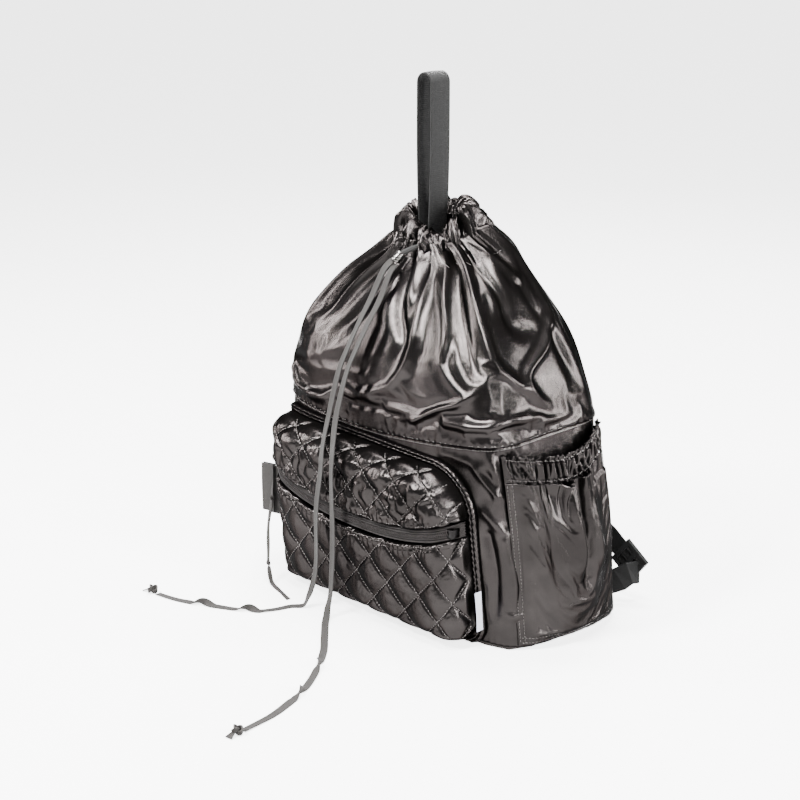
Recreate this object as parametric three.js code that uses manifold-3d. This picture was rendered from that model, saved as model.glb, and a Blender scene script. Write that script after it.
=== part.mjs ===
// A quilted drawstring backpack in coated cloth, standing on its base: a hollow sack gathered to a
// puckered mouth, a quilted front pocket with a curved zip, two elastic-topped side pockets, a webbing
// carry loop, two shoulder straps with ladder buckles, and two flat laces that hang from a cord stop.
// Millimetres, +Z up, the front faces -Y, and the origin is the middle of the flat base.
import * as THREE from "three";
import { mergeVertices } from "three/addons/utils/BufferGeometryUtils.js";
import Module from "manifold-3d";

const wasm = await Module();
wasm.setup();

// Driving dimensions
const BAG_WIDTH = 318;
const BAG_DEPTH = 168;
const MOUTH_HEIGHT = 378;
const CLOTH = 2.2;
const SEAM_GAP = 0.3;
const BASE_THICKNESS = 3;
const LEAN_LEFT = 32;
const LEAN_FORWARD = 16;

const PLEATS = 14;
const PLEAT_DEPTH = 4.2;
const CASING_RISE = 21;
const CASING_REACH = 18;

const POCKET_LEFT = -148;
const POCKET_RIGHT = 121;
const POCKET_BOTTOM = 4;
const POCKET_TOP = 174;
const POCKET_TILT = 4;
const POCKET_BULGE = 36;
const POCKET_SHOULDER = 30;
const PAD_THICKNESS = 6;
const PUFF = 2.8;
const DIAMOND_WIDTH = 45;
const DIAMOND_HEIGHT = 44;
const CORNER_TOP_RIGHT = 42;
const CORNER_TOP_LEFT = 22;
const CORNER_BOTTOM = 20;
const BOTTOM_SAG = 11;
const BINDING_WIDTH = 7;
const BINDING_HEIGHT = 5.5;

const ZIP_END_HEIGHT = 122;
const ZIP_SAG = 23;
const ZIP_WIDTH = 15;
const ZIP_TAPE = 1.4;
const ZIP_RECESS = 3.5;
const COIL_WIDTH = 5;
const COIL_RISE = 1.8;
const SLIDER_INSET = 6;
const SLIDER_LENGTH = 13;
const SLIDER_WIDTH = 9;
const SLIDER_HEIGHT = 10.5;
const STOP_INSET = 7;
const STOP_SIZE = 9;
const PULL_WIDTH = 16;
const PULL_LENGTH = 52;
const PULL_THICKNESS = 3;
const TAPE_ROUND = 4;

const SIDE_BOTTOM = 4.5;
const SIDE_TOP = 192;
const SIDE_BULGE = 25;
const SIDE_FRONT_RIGHT = 66;
const SIDE_FRONT_LEFT = 48;
const SIDE_BACK = 68;
const BAND_HEIGHT = 25;
const BAND_STAND = 15;
const RUFFLES = 9;
const RUFFLE_DEPTH = 1.5;

const WEBBING = 25;
const WEBBING_THICKNESS = 1.8;
const LOOP_HEIGHT = 150;
const LOOP_HALF_GAP = 9.5;
const LOOP_WAIST = 6;
const LOOP_ROOT = 9;
const LOOP_LEFT = 28;
const LOOP_FORWARD = 9;

const STRAP_WIDTH = 58;
const STRAP_THICKNESS = 9;
const BUCKLE_LENGTH = 30;
const BUCKLE_BAR = 4.5;
const BUCKLE_THICKNESS = 4;
const CORD_STOP_RADIUS = 5;
const CORD_STOP_LENGTH = 11;
const KNOT_RADIUS = 6.5;

const LABEL_WIDTH = 12;
const LABEL_HEIGHT = 38;
const LABEL_THICKNESS = 1;

// The sack's outline from the base to the mouth. rise is a share of the mouth height; wide and deep are
// shares of half the bag's width and depth, and aside and behind are its middle's shifts to the right and
// to the back in the same shares; tip is how far the back stands above the middle, as a share of the mouth
// height; square is the exponent of the rounded rectangle.
const SACK = [
  { rise: 0.0, wide: 0.98, deep: 0.975, aside: 0, behind: 0, tip: 0, square: 7.5 },
  { rise: 0.02, wide: 0.995, deep: 0.99, aside: 0, behind: 0, tip: 0, square: 7.5 },
  { rise: 0.1, wide: 1.0, deep: 1.0, aside: 0, behind: 0, tip: 0, square: 7.0 },
  { rise: 0.32, wide: 1.01, deep: 1.015, aside: 0, behind: 0, tip: 0, square: 6.2 },
  { rise: 0.555, wide: 0.985, deep: 1.0, aside: 0, behind: 0, tip: 0, square: 5.6 },
  { rise: 0.66, wide: 0.935, deep: 0.965, aside: 0, behind: 0.02, tip: 0, square: 5.0 },
  { rise: 0.762, wide: 0.825, deep: 0.87, aside: 0.01, behind: 0.06, tip: 0.005, square: 4.4 },
  { rise: 0.873, wide: 0.645, deep: 0.665, aside: 0.025, behind: 0.13, tip: 0.012, square: 3.8 },
  { rise: 0.948, wide: 0.435, deep: 0.49, aside: 0.045, behind: 0.19, tip: 0.022, square: 3.2 },
  { rise: 1.0, wide: 0.275, deep: 0.335, aside: 0.04, behind: 0.125, tip: 0.03, square: 2.4 },
];
const SEAM_ROW = 4;
const MOUTH_ROW = SACK.length - 1;

// The sack's main valleys and ridges. turn is the share of the way round from the middle of the back,
// by way of the left side; depth is inward, in shares of half the bag's depth; spread is its half-width
// as a share of the way round; foot and head are the rises where it fades out.
const FOLDS = [
  { turn: 0.03, depth: 0.1, spread: 0.022, foot: 0.72, head: 1.0 },
  { turn: 0.13, depth: 0.12, spread: 0.025, foot: 0.66, head: 1.0 },
  { turn: 0.24, depth: 0.1, spread: 0.022, foot: 0.74, head: 1.0 },
  { turn: 0.36, depth: 0.12, spread: 0.02, foot: 0.7, head: 1.0 },
  { turn: 0.44, depth: -0.06, spread: 0.03, foot: 0.62, head: 0.93 },
  { turn: 0.5, depth: 0.1, spread: 0.018, foot: 0.72, head: 1.0 },
  { turn: 0.575, depth: 0.17, spread: 0.022, foot: 0.6, head: 1.0 },
  { turn: 0.63, depth: -0.07, spread: 0.026, foot: 0.6, head: 0.95 },
  { turn: 0.69, depth: 0.13, spread: 0.02, foot: 0.64, head: 1.0 },
  { turn: 0.78, depth: 0.14, spread: 0.024, foot: 0.6, head: 1.0 },
  { turn: 0.9, depth: 0.1, spread: 0.022, foot: 0.7, head: 1.0 },
];

// The gathered casing above the mouth ring: in is a share of its reach inwards, up a share of its rise.
const CASING = [
  { in: 0.0, up: 0.02 },
  { in: 0.16, up: 0.55 },
  { in: 0.62, up: 1.0 },
  { in: 0.86, up: 0.82 },
  { in: 1.0, up: 0.4 },
];

// The side pocket's standing-off from the sack: up is a share of its height, out a share of its bulge.
const SIDE_PROFILE = [
  { up: 0.0, out: 0.3 },
  { up: 0.06, out: 0.62 },
  { up: 0.2, out: 0.86 },
  { up: 0.42, out: 1.0 },
  { up: 0.64, out: 0.92 },
  { up: 0.8, out: 0.74 },
];

// How far the bag's sizes are from the ones that the straps' and the laces' routes were laid for.
const [BROAD, DEEP, TALL] = [BAG_WIDTH / 318, BAG_DEPTH / 168, MOUTH_HEIGHT / 378];
const onBag = ([x, y, z]) => [x * BROAD, y * DEEP, z * TALL];

const AROUND_LOWER = 36;
const AROUND_UPPER = PLEATS * 4;

const coatedCloth = new THREE.MeshStandardMaterial({ color: 0x5a5250, roughness: 0.32, metalness: 0.8 });
const quiltCloth = new THREE.MeshStandardMaterial({ color: 0x5d5552, roughness: 0.36, metalness: 0.75 });
const blackWebbing = new THREE.MeshStandardMaterial({ color: 0x1b1b1a, roughness: 0.85, metalness: 0 });
const greyTape = new THREE.MeshStandardMaterial({ color: 0x6b6663, roughness: 0.7, metalness: 0 });
const zipTapeCloth = new THREE.MeshStandardMaterial({ color: 0x3a3435, roughness: 0.8, metalness: 0 });
const nylonCoil = new THREE.MeshStandardMaterial({ color: 0x221f20, roughness: 0.45, metalness: 0 });
const nickel = new THREE.MeshStandardMaterial({ color: 0xc9c6c1, roughness: 0.2, metalness: 1 });
const blackPlastic = new THREE.MeshStandardMaterial({ color: 0x141414, roughness: 0.5, metalness: 0 });
const labelCloth = new THREE.MeshStandardMaterial({ color: 0xe9eaf2, roughness: 0.7, metalness: 0 });

const vector = (x, y, z) => new THREE.Vector3(x, y, z);
const mix = THREE.MathUtils.lerp;
const smooth = THREE.MathUtils.smoothstep;

// One row of a table at a position between its rows, each named column on a smooth curve.
function rowAt(table, position) {
  const last = table.length - 1;
  const index = Math.min(Math.floor(position), last - 1);
  const t = position - index;
  const row = {};
  for (const key of Object.keys(table[0])) {
    const a = table[Math.max(index - 1, 0)][key];
    const b = table[index][key];
    const c = table[index + 1][key];
    const d = table[Math.min(index + 2, last)][key];
    const slopeB = (c - a) / 2;
    const slopeC = (d - b) / 2;
    const t2 = t * t;
    const t3 = t2 * t;
    row[key] =
      b * (2 * t3 - 3 * t2 + 1) + slopeB * (t3 - 2 * t2 + t) + c * (3 * t2 - 2 * t3) + slopeC * (t3 - t2);
  }
  return row;
}

// A closed or open run of points, resampled at equal distances.
function evenly(points, count, closed) {
  const line = new THREE.CurvePath();
  const run = closed ? [...points, points[0]] : points;
  for (let i = 1; i < run.length; i++) line.add(new THREE.LineCurve3(run[i - 1], run[i]));
  const steps = closed ? count : count - 1;
  return Array.from({ length: count }, (_, i) => line.getPointAt(Math.min(i / steps, 1)));
}

// A surface through rings of equally many points: joined end to start, or capped at both ends.
function loft(rings, joined = false) {
  const count = rings[0].length;
  const position = rings.flat().flatMap((p) => [p.x, p.y, p.z]);
  const index = [];
  const bands = joined ? rings.length : rings.length - 1;
  for (let r = 0; r < bands; r++) {
    const next = (r + 1) % rings.length;
    for (let i = 0; i < count; i++) {
      const j = (i + 1) % count;
      const [a, b, c, d] = [r * count + i, r * count + j, next * count + j, next * count + i];
      index.push(a, b, c, a, c, d);
    }
  }
  if (!joined) {
    for (const [r, turn] of [[0, 1], [rings.length - 1, -1]]) {
      const middle = rings[r].reduce((sum, p) => sum.add(p), vector(0, 0, 0)).divideScalar(count);
      const hub = position.length / 3;
      position.push(middle.x, middle.y, middle.z);
      for (let i = 0; i < count; i++) {
        const j = (i + 1) % count;
        const [a, b] = turn > 0 ? [j, i] : [i, j];
        index.push(hub, r * count + a, r * count + b);
      }
    }
  }
  return faceOut(new THREE.BufferGeometry()
    .setAttribute("position", new THREE.Float32BufferAttribute(position, 3))
    .setIndex(index));
}

// Turns a closed surface's faces outwards.
function faceOut(geometry) {
  const at = geometry.getAttribute("position");
  const order = geometry.getIndex().array;
  const [a, b, c] = [vector(0, 0, 0), vector(0, 0, 0), vector(0, 0, 0)];
  let volume = 0;
  for (let i = 0; i < order.length; i += 3) {
    a.fromBufferAttribute(at, order[i]);
    b.fromBufferAttribute(at, order[i + 1]);
    c.fromBufferAttribute(at, order[i + 2]);
    volume += a.dot(b.cross(c));
  }
  if (volume < 0) for (let i = 0; i < order.length; i += 3) [order[i], order[i + 1]] = [order[i + 1], order[i]];
  return geometry;
}

// A three.js geometry as a solid that can be joined and cut.
function solid(geometry) {
  const bare = geometry.clone();
  for (const name of Object.keys(bare.attributes)) if (name !== "position") bare.deleteAttribute(name);
  const merged = mergeVertices(bare, 1e-4);
  return new wasm.Manifold(new wasm.Mesh({
    numProp: 3,
    vertProperties: new Float32Array(merged.getAttribute("position").array),
    triVerts: new Uint32Array(merged.getIndex().array),
  }));
}

// The largest connected body of a solid, as a three.js geometry.
function geometryOf(made) {
  const bodies = made.decompose().sort((a, b) => b.volume() - a.volume());
  const mesh = bodies[0].getMesh();
  return new THREE.BufferGeometry()
    .setAttribute("position", new THREE.Float32BufferAttribute(new Float32Array(mesh.vertProperties), 3))
    .setIndex(new THREE.BufferAttribute(new Uint32Array(mesh.triVerts), 1));
}

// The soft bag leans left and forward with its height.
const leaning = new THREE.Matrix4().set(
  1, 0, -LEAN_LEFT / MOUTH_HEIGHT, 0,
  0, 1, -LEAN_FORWARD / MOUTH_HEIGHT, 0,
  0, 0, 1, 0,
  0, 0, 0, 1,
);

const bag = new THREE.Group();

function piece(name, geometry, material, upright = false) {
  const mesh = new THREE.Mesh(upright ? geometry : geometry.applyMatrix4(leaning), material);
  mesh.name = name;
  bag.add(mesh);
  return mesh;
}

// The sack's plan outline at a row position, evenly spaced, from the middle of the back by way of the left.
function outline(position, count, grow = 0) {
  const row = rowAt(SACK, position);
  const [halfWidth, halfDepth] = [(row.wide * BAG_WIDTH) / 2 + grow, (row.deep * BAG_DEPTH) / 2 + grow];
  const middle = vector((row.aside * BAG_WIDTH) / 2, (row.behind * BAG_DEPTH) / 2, row.rise * MOUTH_HEIGHT);
  const fine = Array.from({ length: 240 }, (_, i) => {
    const angle = Math.PI / 2 + (i / 240) * 2 * Math.PI;
    const [c, s] = [Math.cos(angle), Math.sin(angle)];
    const reach = (Math.abs(c / halfWidth) ** row.square + Math.abs(s / halfDepth) ** row.square) ** (-1 / row.square);
    return middle.clone().add(vector(c * reach, s * reach, (row.tip * MOUTH_HEIGHT * s * reach) / halfDepth));
  });
  return evenly(fine, count, true);
}

// How far the folds and pleats push a point of the sack inwards, at its turn and rise.
function foldDepth(turn, rise) {
  let depth = 0;
  for (const fold of FOLDS) {
    const away = Math.abs(((turn - fold.turn + 1.5) % 1) - 0.5) / fold.spread;
    const middle = mix(fold.foot, fold.head, 0.55);
    const fade = smooth(rise, fold.foot, middle) * (fold.head < 1 ? 1 - smooth(rise, middle, fold.head) : 1);
    depth += (fold.depth * BAG_DEPTH) / 2 * Math.exp(-away * away) * fade;
  }
  return depth * (1 - 0.6 * smooth(rise, 0.9, 1));
}
function pleatDepth(turn, rise) {
  return PLEAT_DEPTH * smooth(rise, 0.84, 1) * Math.cos(2 * Math.PI * PLEATS * turn);
}

// A ring moved inwards in plan: inwards(i) is its distance at each point.
function movedIn(ring, inwards) {
  const count = ring.length;
  return ring.map((p, i) => {
    const along = ring[(i + 1) % count].clone().sub(ring[(i + count - 1) % count]);
    const inward = vector(-along.y, along.x, 0).normalize();
    return p.clone().addScaledVector(inward, inwards(i));
  });
}

function sackRing(position, count, grow) {
  const rise = rowAt(SACK, position).rise;
  return movedIn(outline(position, count, grow), (i) => foldDepth(i / count, rise) + pleatDepth(i / count, rise));
}

// A cloth tube between two row positions: outer skin up, inner skin down.
function clothTube(from, to, steps, count, innerSteps) {
  const rings = [];
  const low = rowAt(SACK, from).rise * MOUTH_HEIGHT;
  for (let k = 0; k <= steps; k++) rings.push(sackRing(mix(from, to, k / steps), count, 0));
  for (let k = innerSteps; k >= 0; k--) {
    const ring = sackRing(mix(from, to, k / innerSteps), count, 0);
    const sink = smooth(k / innerSteps, 0.6, 0.98);
    const inset = movedIn(ring, () => CLOTH * (1 + 0.5 * sink));
    inset.forEach((p) => {
      if (k > 0 && k < innerSteps) p.z = Math.max(low, p.z - CLOTH * sink);
    });
    rings.push(inset);
  }
  return rings;
}

// The closed outer form of the lower sack, grown by a distance, for cutting what is sewn on it.
function envelope(grow) {
  const rings = [];
  const steps = 9;
  rings.push(outline(0, AROUND_LOWER, grow).map((p) => vector(p.x, p.y, -2)));
  for (let k = 0; k <= steps; k++) rings.push(outline((SEAM_ROW * k) / steps, AROUND_LOWER, grow));
  rings.push(outline(SEAM_ROW, AROUND_LOWER, grow).map((p) => vector(p.x, p.y, p.z + 10)));
  return solid(loft(rings));
}

function makeSack() {
  const floorRing = outline(0, AROUND_LOWER);
  const plate = [
    floorRing,
    floorRing.map((p) => vector(p.x, p.y, BASE_THICKNESS)),
  ];
  piece("base_panel", loft(plate), coatedCloth);

  const lower = clothTube(0, SEAM_ROW, 7, AROUND_LOWER, 4);
  const aboveBase = BASE_THICKNESS + SEAM_GAP;
  lower.forEach((ring) => ring.forEach((p) => { p.z = Math.max(p.z, aboveBase); }));
  piece("lower_body", loft(lower, true), coatedCloth);

  const upper = clothTube(SEAM_ROW, MOUTH_ROW, 10, AROUND_UPPER, 5);
  const seamHeight = rowAt(SACK, SEAM_ROW).rise * MOUTH_HEIGHT;
  upper.forEach((ring) => ring.forEach((p) => {
    p.z = Math.max(p.z, seamHeight + SEAM_GAP);
  }));
  piece("upper_sack", loft(upper, true), coatedCloth);
}

// The puckered casing: a rolled band of cloth that stands up from the mouth ring and turns in again.
function makeCasing() {
  const skin = (lining) => CASING.map((row) => {
    const turned = Math.PI * row.in;
    const shift = lining * CLOTH * Math.cos(turned);
    const ring = outline(MOUTH_ROW, AROUND_UPPER, -row.in * CASING_REACH - shift);
    const fade = 1 - 0.8 * row.in;
    const folded = movedIn(ring, (i) => {
      const turn = i / AROUND_UPPER;
      return (foldDepth(turn, 1) + pleatDepth(turn, 1)) * fade;
    });
    folded.forEach((p, i) => {
      const wave = Math.cos(2 * Math.PI * PLEATS * (i / AROUND_UPPER));
      p.z += SEAM_GAP + row.up * CASING_RISE * (1 - 0.12 * wave) - lining * CLOTH * Math.sin(turned);
    });
    return folded;
  });
  const [outer, inner] = [skin(0), skin(1).reverse()];
  const casing = solid(loft([...outer, ...inner], true).applyMatrix4(leaning)).subtract(loopRoom);
  piece("mouth_casing", geometryOf(casing), coatedCloth, true);
}

// The sack's row at a height, by halving.
function rowAtHeight(height) {
  let [low, high] = [0, SACK.length - 1];
  for (let i = 0; i < 30; i++) {
    const middle = (low + high) / 2;
    if (rowAt(SACK, middle).rise * MOUTH_HEIGHT < height) low = middle;
    else high = middle;
  }
  return rowAt(SACK, low);
}

// The sack's front face at a place.
function frontAt(x, z) {
  const row = rowAtHeight(z);
  const share = Math.min(Math.abs(x) / ((row.wide * BAG_WIDTH) / 2), 0.995);
  return (-(row.deep * BAG_DEPTH) / 2) * (1 - share ** row.square) ** (1 / row.square);
}

// The front pocket's rounded outline: how far a place lies inside it, and its upper edge drops to the right.
const POCKET_MIDDLE = (POCKET_LEFT + POCKET_RIGHT) / 2;
const POCKET_HALF = (POCKET_RIGHT - POCKET_LEFT) / 2;
const POCKET_CENTRE = (POCKET_TOP + POCKET_BOTTOM) / 2;
const POCKET_HALF_HEIGHT = (POCKET_TOP - POCKET_BOTTOM) / 2;

function tilted(x, z) {
  return z - (POCKET_TILT * (x - POCKET_MIDDLE) * z) / (POCKET_HALF * POCKET_TOP);
}
function rimDistance(x, z) {
  const corner = z < POCKET_CENTRE ? CORNER_BOTTOM : x > POCKET_MIDDLE ? CORNER_TOP_RIGHT : CORNER_TOP_LEFT;
  const qx = Math.abs(x - POCKET_MIDDLE) - (POCKET_HALF - corner);
  const qz = Math.abs(z - POCKET_CENTRE) - (POCKET_HALF_HEIGHT - corner);
  return corner - Math.min(Math.max(qx, qz), 0) - Math.hypot(Math.max(qx, 0), Math.max(qz, 0));
}

// The pillow bulges lower down at its foot, as if the height there were a little more.
function sagged(z) {
  const low = z - POCKET_BOTTOM;
  return z + BOTTOM_SAG * smooth(low, 0, 14) * (1 - smooth(low, 25, 85));
}

// The pillow's rise off the sack at a distance from its rim, for a skin that lies a depth below its face.
function pillow(distance, depth) {
  const share = THREE.MathUtils.clamp((distance - depth) / POCKET_SHOULDER, 0, 1);
  return POCKET_BULGE * (1 - (1 - share) ** 3) ** 0.42 - depth;
}

// The quilting's pads between the stitched diagonals.
function pad(x, z) {
  const u = (x - POCKET_MIDDLE) / (DIAMOND_WIDTH / 2);
  const v = (z - POCKET_BOTTOM) / (DIAMOND_HEIGHT / 2);
  return (Math.abs(Math.sin((Math.PI * (u + v)) / 2) * Math.sin((Math.PI * (u - v)) / 2))) ** 0.6;
}

// A solid from deep in the sack out to a height field over the pocket, on a grid that follows the diagonals.
function pocketSolid(rise, fine) {
  const parts = fine ? 2 : 1;
  const [stepX, stepZ] = [DIAMOND_WIDTH / 2 / parts, DIAMOND_HEIGHT / 2 / parts];
  const reach = Math.ceil((POCKET_HALF + 1) / stepX);
  const tall = Math.ceil((POCKET_TOP - POCKET_BOTTOM + 2) / stepZ);
  const columns = 2 * reach + 1;
  const rows = tall + 2;
  const position = [];
  for (const back of [false, true]) {
    for (let j = 0; j < rows; j++) {
      for (let i = 0; i < columns; i++) {
        const x = POCKET_MIDDLE + (i - reach) * stepX;
        const z = j === 0 ? POCKET_BOTTOM - 2 : POCKET_BOTTOM + (j - 1) * stepZ;
        const real = tilted(x, z);
        position.push(x, back ? 0 : frontAt(x, Math.max(real, 0)) - rise(x, z), real);
      }
    }
  }
  const index = [];
  const layer = columns * rows;
  for (let j = 0; j + 1 < rows; j++) {
    for (let i = 0; i + 1 < columns; i++) {
      const [a, b, c, d] = [j * columns + i, j * columns + i + 1, (j + 1) * columns + i + 1, (j + 1) * columns + i];
      const across = (i - reach + j) % (2 * parts) === 0;
      if (across) index.push(a, b, d, b, c, d);
      else index.push(a, b, c, a, c, d);
      index.push(layer + a, layer + c, layer + b, layer + a, layer + d, layer + c);
    }
  }
  const edge = [];
  for (let i = 0; i + 1 < columns; i++) edge.push(i);
  for (let j = 0; j + 1 < rows; j++) edge.push(j * columns + columns - 1);
  for (let i = columns - 1; i > 0; i--) edge.push((rows - 1) * columns + i);
  for (let j = rows - 1; j > 0; j--) edge.push(j * columns);
  edge.forEach((a, k) => {
    const b = edge[(k + 1) % edge.length];
    index.push(a, layer + b, b, a, layer + a, layer + b);
  });
  return solid(faceOut(new THREE.BufferGeometry()
    .setAttribute("position", new THREE.Float32BufferAttribute(position, 3))
    .setIndex(index)));
}

// A prism from the middle of the sack forwards through an outline of x and z.
function prism(points) {
  const shape = new THREE.Shape(points.map(([x, z]) => new THREE.Vector2(x, z)));
  const reach = BAG_DEPTH / 2 + POCKET_BULGE + 40;
  return solid(new THREE.ExtrudeGeometry(shape, { depth: reach, bevelEnabled: false }).rotateX(Math.PI / 2));
}

// The pocket's outline, moved outwards by a distance.
function pocketOutline(out) {
  const points = [];
  const corners = [
    [1, 1, CORNER_TOP_RIGHT], [-1, 1, CORNER_TOP_LEFT], [-1, -1, CORNER_BOTTOM], [1, -1, CORNER_BOTTOM],
  ];
  corners.forEach(([sx, sz, corner], k) => {
    for (let i = 0; i <= 5; i++) {
      const angle = ((k + i / 5) * Math.PI) / 2;
      const x = POCKET_MIDDLE + sx * (POCKET_HALF - corner) + (corner + out) * Math.cos(angle);
      const z = POCKET_CENTRE + sz * (POCKET_HALF_HEIGHT - corner) + (corner + out) * Math.sin(angle);
      points.push([x, tilted(x, z)]);
    }
    const next = corners[(k + 1) % 4];
    const away = Math.PI / 2 * (k + 1);
    for (let i = 1; i < 5; i++) {
      const from = [sx * (POCKET_HALF - corner), sz * (POCKET_HALF_HEIGHT - corner), corner];
      const to = [next[0] * (POCKET_HALF - next[2]), next[1] * (POCKET_HALF_HEIGHT - next[2]), next[2]];
      const [px, pz, pc] = from.map((value, n) => mix(value, to[n], i / 5));
      const x = POCKET_MIDDLE + px + (pc + out) * Math.cos(away);
      const z = POCKET_CENTRE + pz + (pc + out) * Math.sin(away);
      points.push([x, tilted(x, z)]);
    }
  });
  return points;
}

function zipHeight(x) {
  const share = Math.min(Math.abs(x - POCKET_MIDDLE) / POCKET_HALF, 1.1);
  return ZIP_END_HEIGHT - ZIP_SAG * (1 - share ** 2.3);
}

// The band along the zip, half a width either side of its curve.
function zipBand(half) {
  const steps = 20;
  const side = (way) => Array.from({ length: steps + 1 }, (_, i) => {
    const x = mix(POCKET_LEFT - 4, POCKET_RIGHT + 4, i / steps);
    return [x, zipHeight(x) + way * half];
  });
  return prism([...side(-1), ...side(1).reverse()]);
}

// A place on the pillow, a depth below its face, with the directions along the zip and out of the cloth.
function onZip(x, depth) {
  const at = (px, pz) => vector(px, frontAt(px, tilted(px, pz)) - pillow(rimDistance(px, sagged(pz)), depth), tilted(px, pz));
  const z = zipHeight(x);
  const along = at(x + 2, zipHeight(x + 2)).sub(at(x - 2, zipHeight(x - 2))).normalize();
  const up = at(x, z + 2).sub(at(x, z - 2)).normalize();
  return { point: at(x, z), along, out: along.clone().cross(up).normalize() };
}

function boxAt(frame, length, width, height) {
  const side = frame.out.clone().cross(frame.along).normalize();
  const turn = new THREE.Matrix4().makeBasis(frame.along, side, frame.out);
  return new THREE.BoxGeometry(length, width, height)
    .translate(0, 0, height / 2)
    .applyMatrix4(turn)
    .translate(frame.point.x, frame.point.y, frame.point.z);
}

const body = envelope(SEAM_GAP);

function makePocket() {
  const padded = pocketSolid((x, z) => {
    const d = rimDistance(x, sagged(z));
    return pillow(d, 0) + PUFF * pad(x, z) * smooth(d, 0, 16);
  }, true).intersect(prism(pocketOutline(0)));
  const hollow = pocketSolid((x, z) => pillow(rimDistance(x, sagged(z)), PAD_THICKNESS), false)
    .intersect(prism(pocketOutline(-PAD_THICKNESS)));
  const panels = padded.subtract(hollow).subtract(body).subtract(zipBand(ZIP_WIDTH / 2));
  const bodies = panels.decompose().sort((a, b) => b.volume() - a.volume()).slice(0, 2);
  bodies.sort((a, b) => b.boundingBox().max[2] - a.boundingBox().max[2]);
  piece("pocket_upper_panel", geometryOf(bodies[0]), quiltCloth);
  piece("pocket_lower_panel", geometryOf(bodies[1]), quiltCloth);

  const skin = (depth) => pocketSolid((x, z) => pillow(rimDistance(x, sagged(z)), depth), false);
  const rim = prism(pocketOutline(0));
  const tape = skin(ZIP_RECESS).subtract(skin(ZIP_RECESS + ZIP_TAPE))
    .intersect(zipBand(ZIP_WIDTH / 2 - SEAM_GAP)).intersect(rim).subtract(body);
  piece("pocket_zip_tape", geometryOf(tape), zipTapeCloth);
  const coilTop = ZIP_RECESS - SEAM_GAP - COIL_RISE;
  const coil = skin(coilTop).subtract(skin(ZIP_RECESS - SEAM_GAP))
    .intersect(zipBand(COIL_WIDTH / 2)).intersect(prism(pocketOutline(-2))).subtract(body);
  piece("zip_coil", geometryOf(coil), nylonCoil);

  const seat = skin(coilTop - SEAM_GAP);
  const slider = solid(boxAt(onZip(POCKET_LEFT + SLIDER_INSET, ZIP_RECESS), SLIDER_LENGTH, SLIDER_WIDTH, SLIDER_HEIGHT));
  const slot = zipBand(ZIP_WIDTH / 2 - SEAM_GAP);
  piece("zip_slider", geometryOf(slider.subtract(seat).intersect(slot)), nickel);
  const stop = solid(boxAt(onZip(POCKET_RIGHT - STOP_INSET, ZIP_RECESS), STOP_SIZE, STOP_SIZE, ZIP_RECESS + 1));
  piece("zip_end_stop", geometryOf(stop.subtract(seat).intersect(slot)), nickel);

  const wide = BAG_WIDTH / 2;
  const standing = prism([[-wide, SEAM_GAP], [wide, SEAM_GAP], [wide, MOUTH_HEIGHT], [-wide, MOUTH_HEIGHT]]);
  const ring = prism(pocketOutline(SEAM_GAP + BINDING_WIDTH)).subtract(prism(pocketOutline(SEAM_GAP)));
  const binding = ring.intersect(standing).intersect(envelope(SEAM_GAP + BINDING_HEIGHT)).subtract(body);
  piece("pocket_binding", geometryOf(binding), coatedCloth);
}

// A side pocket: a bowl of cloth sewn to the sack at its front, back and bottom, open at the top, with a
// gathered elastic band round its mouth. side is 1 on the right and -1 on the left.
function sideLump(side, from, to, stand, steps, depth) {
  const front = side > 0 ? SIDE_FRONT_RIGHT : SIDE_FRONT_LEFT;
  const arc = 14;
  const rings = [];
  for (let k = 0; k <= steps; k++) {
    const height = mix(from, to, k / steps);
    const row = rowAtHeight(height);
    const [halfWidth, halfDepth] = [(row.wide * BAG_WIDTH) / 2, (row.deep * BAG_DEPTH) / 2];
    const edge = (y) => halfWidth * (1 - Math.min(Math.abs(y) / halfDepth, 0.995) ** row.square) ** (1 / row.square);
    const ring = [];
    for (let i = 0; i <= arc; i++) {
      const y = mix(-front + depth, SIDE_BACK - depth, i / arc);
      const here = vector(edge(y), y, height);
      const ahead = vector(edge(y + 1), y + 1, height).sub(vector(edge(y - 1), y - 1, height)).normalize();
      const bow = Math.sin((Math.PI * i) / arc) ** 0.55;
      const out = CLOTH + SEAM_GAP + stand((height - SIDE_BOTTOM) / (SIDE_TOP - SIDE_BOTTOM), i / arc) * bow - depth;
      ring.push(here.addScaledVector(vector(ahead.y, -ahead.x, 0), out));
    }
    ring.push(vector(halfWidth * 0.6, SIDE_BACK - depth, height), vector(halfWidth * 0.6, -front + depth, height));
    ring.forEach((p) => { p.x *= side; });
    rings.push(ring);
  }
  return solid(loft(rings));
}

function makeSidePocket(name, side) {
  const stand = (up) => rowAt(SIDE_PROFILE, THREE.MathUtils.clamp(sideRow(up), 0, SIDE_PROFILE.length - 1)).out * SIDE_BULGE;
  const bandFoot = SIDE_TOP - BAND_HEIGHT;
  const outer = sideLump(side, SIDE_BOTTOM, bandFoot - SEAM_GAP, stand, 6, 0);
  const inner = sideLump(side, SIDE_BOTTOM + CLOTH, bandFoot + 5, stand, 6, CLOTH);
  piece(`side_pocket_${name}`, geometryOf(outer.subtract(inner).subtract(body)), coatedCloth);

  const ruffle = (up, along) => BAND_STAND + RUFFLE_DEPTH * Math.cos(2 * Math.PI * RUFFLES * along);
  const bandOuter = sideLump(side, bandFoot, SIDE_TOP, ruffle, 2, 0);
  const bandInner = sideLump(side, bandFoot - 5, SIDE_TOP + 5, ruffle, 2, CLOTH);
  piece(`side_band_${name}`, geometryOf(bandOuter.subtract(bandInner).subtract(body)), coatedCloth);
}
function sideRow(up) {
  const index = SIDE_PROFILE.findIndex((row) => row.up > up);
  if (index < 1) return index < 0 ? SIDE_PROFILE.length - 1 : 0;
  const [a, b] = [SIDE_PROFILE[index - 1].up, SIDE_PROFILE[index].up];
  return index - 1 + (up - a) / (b - a);
}

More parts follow.
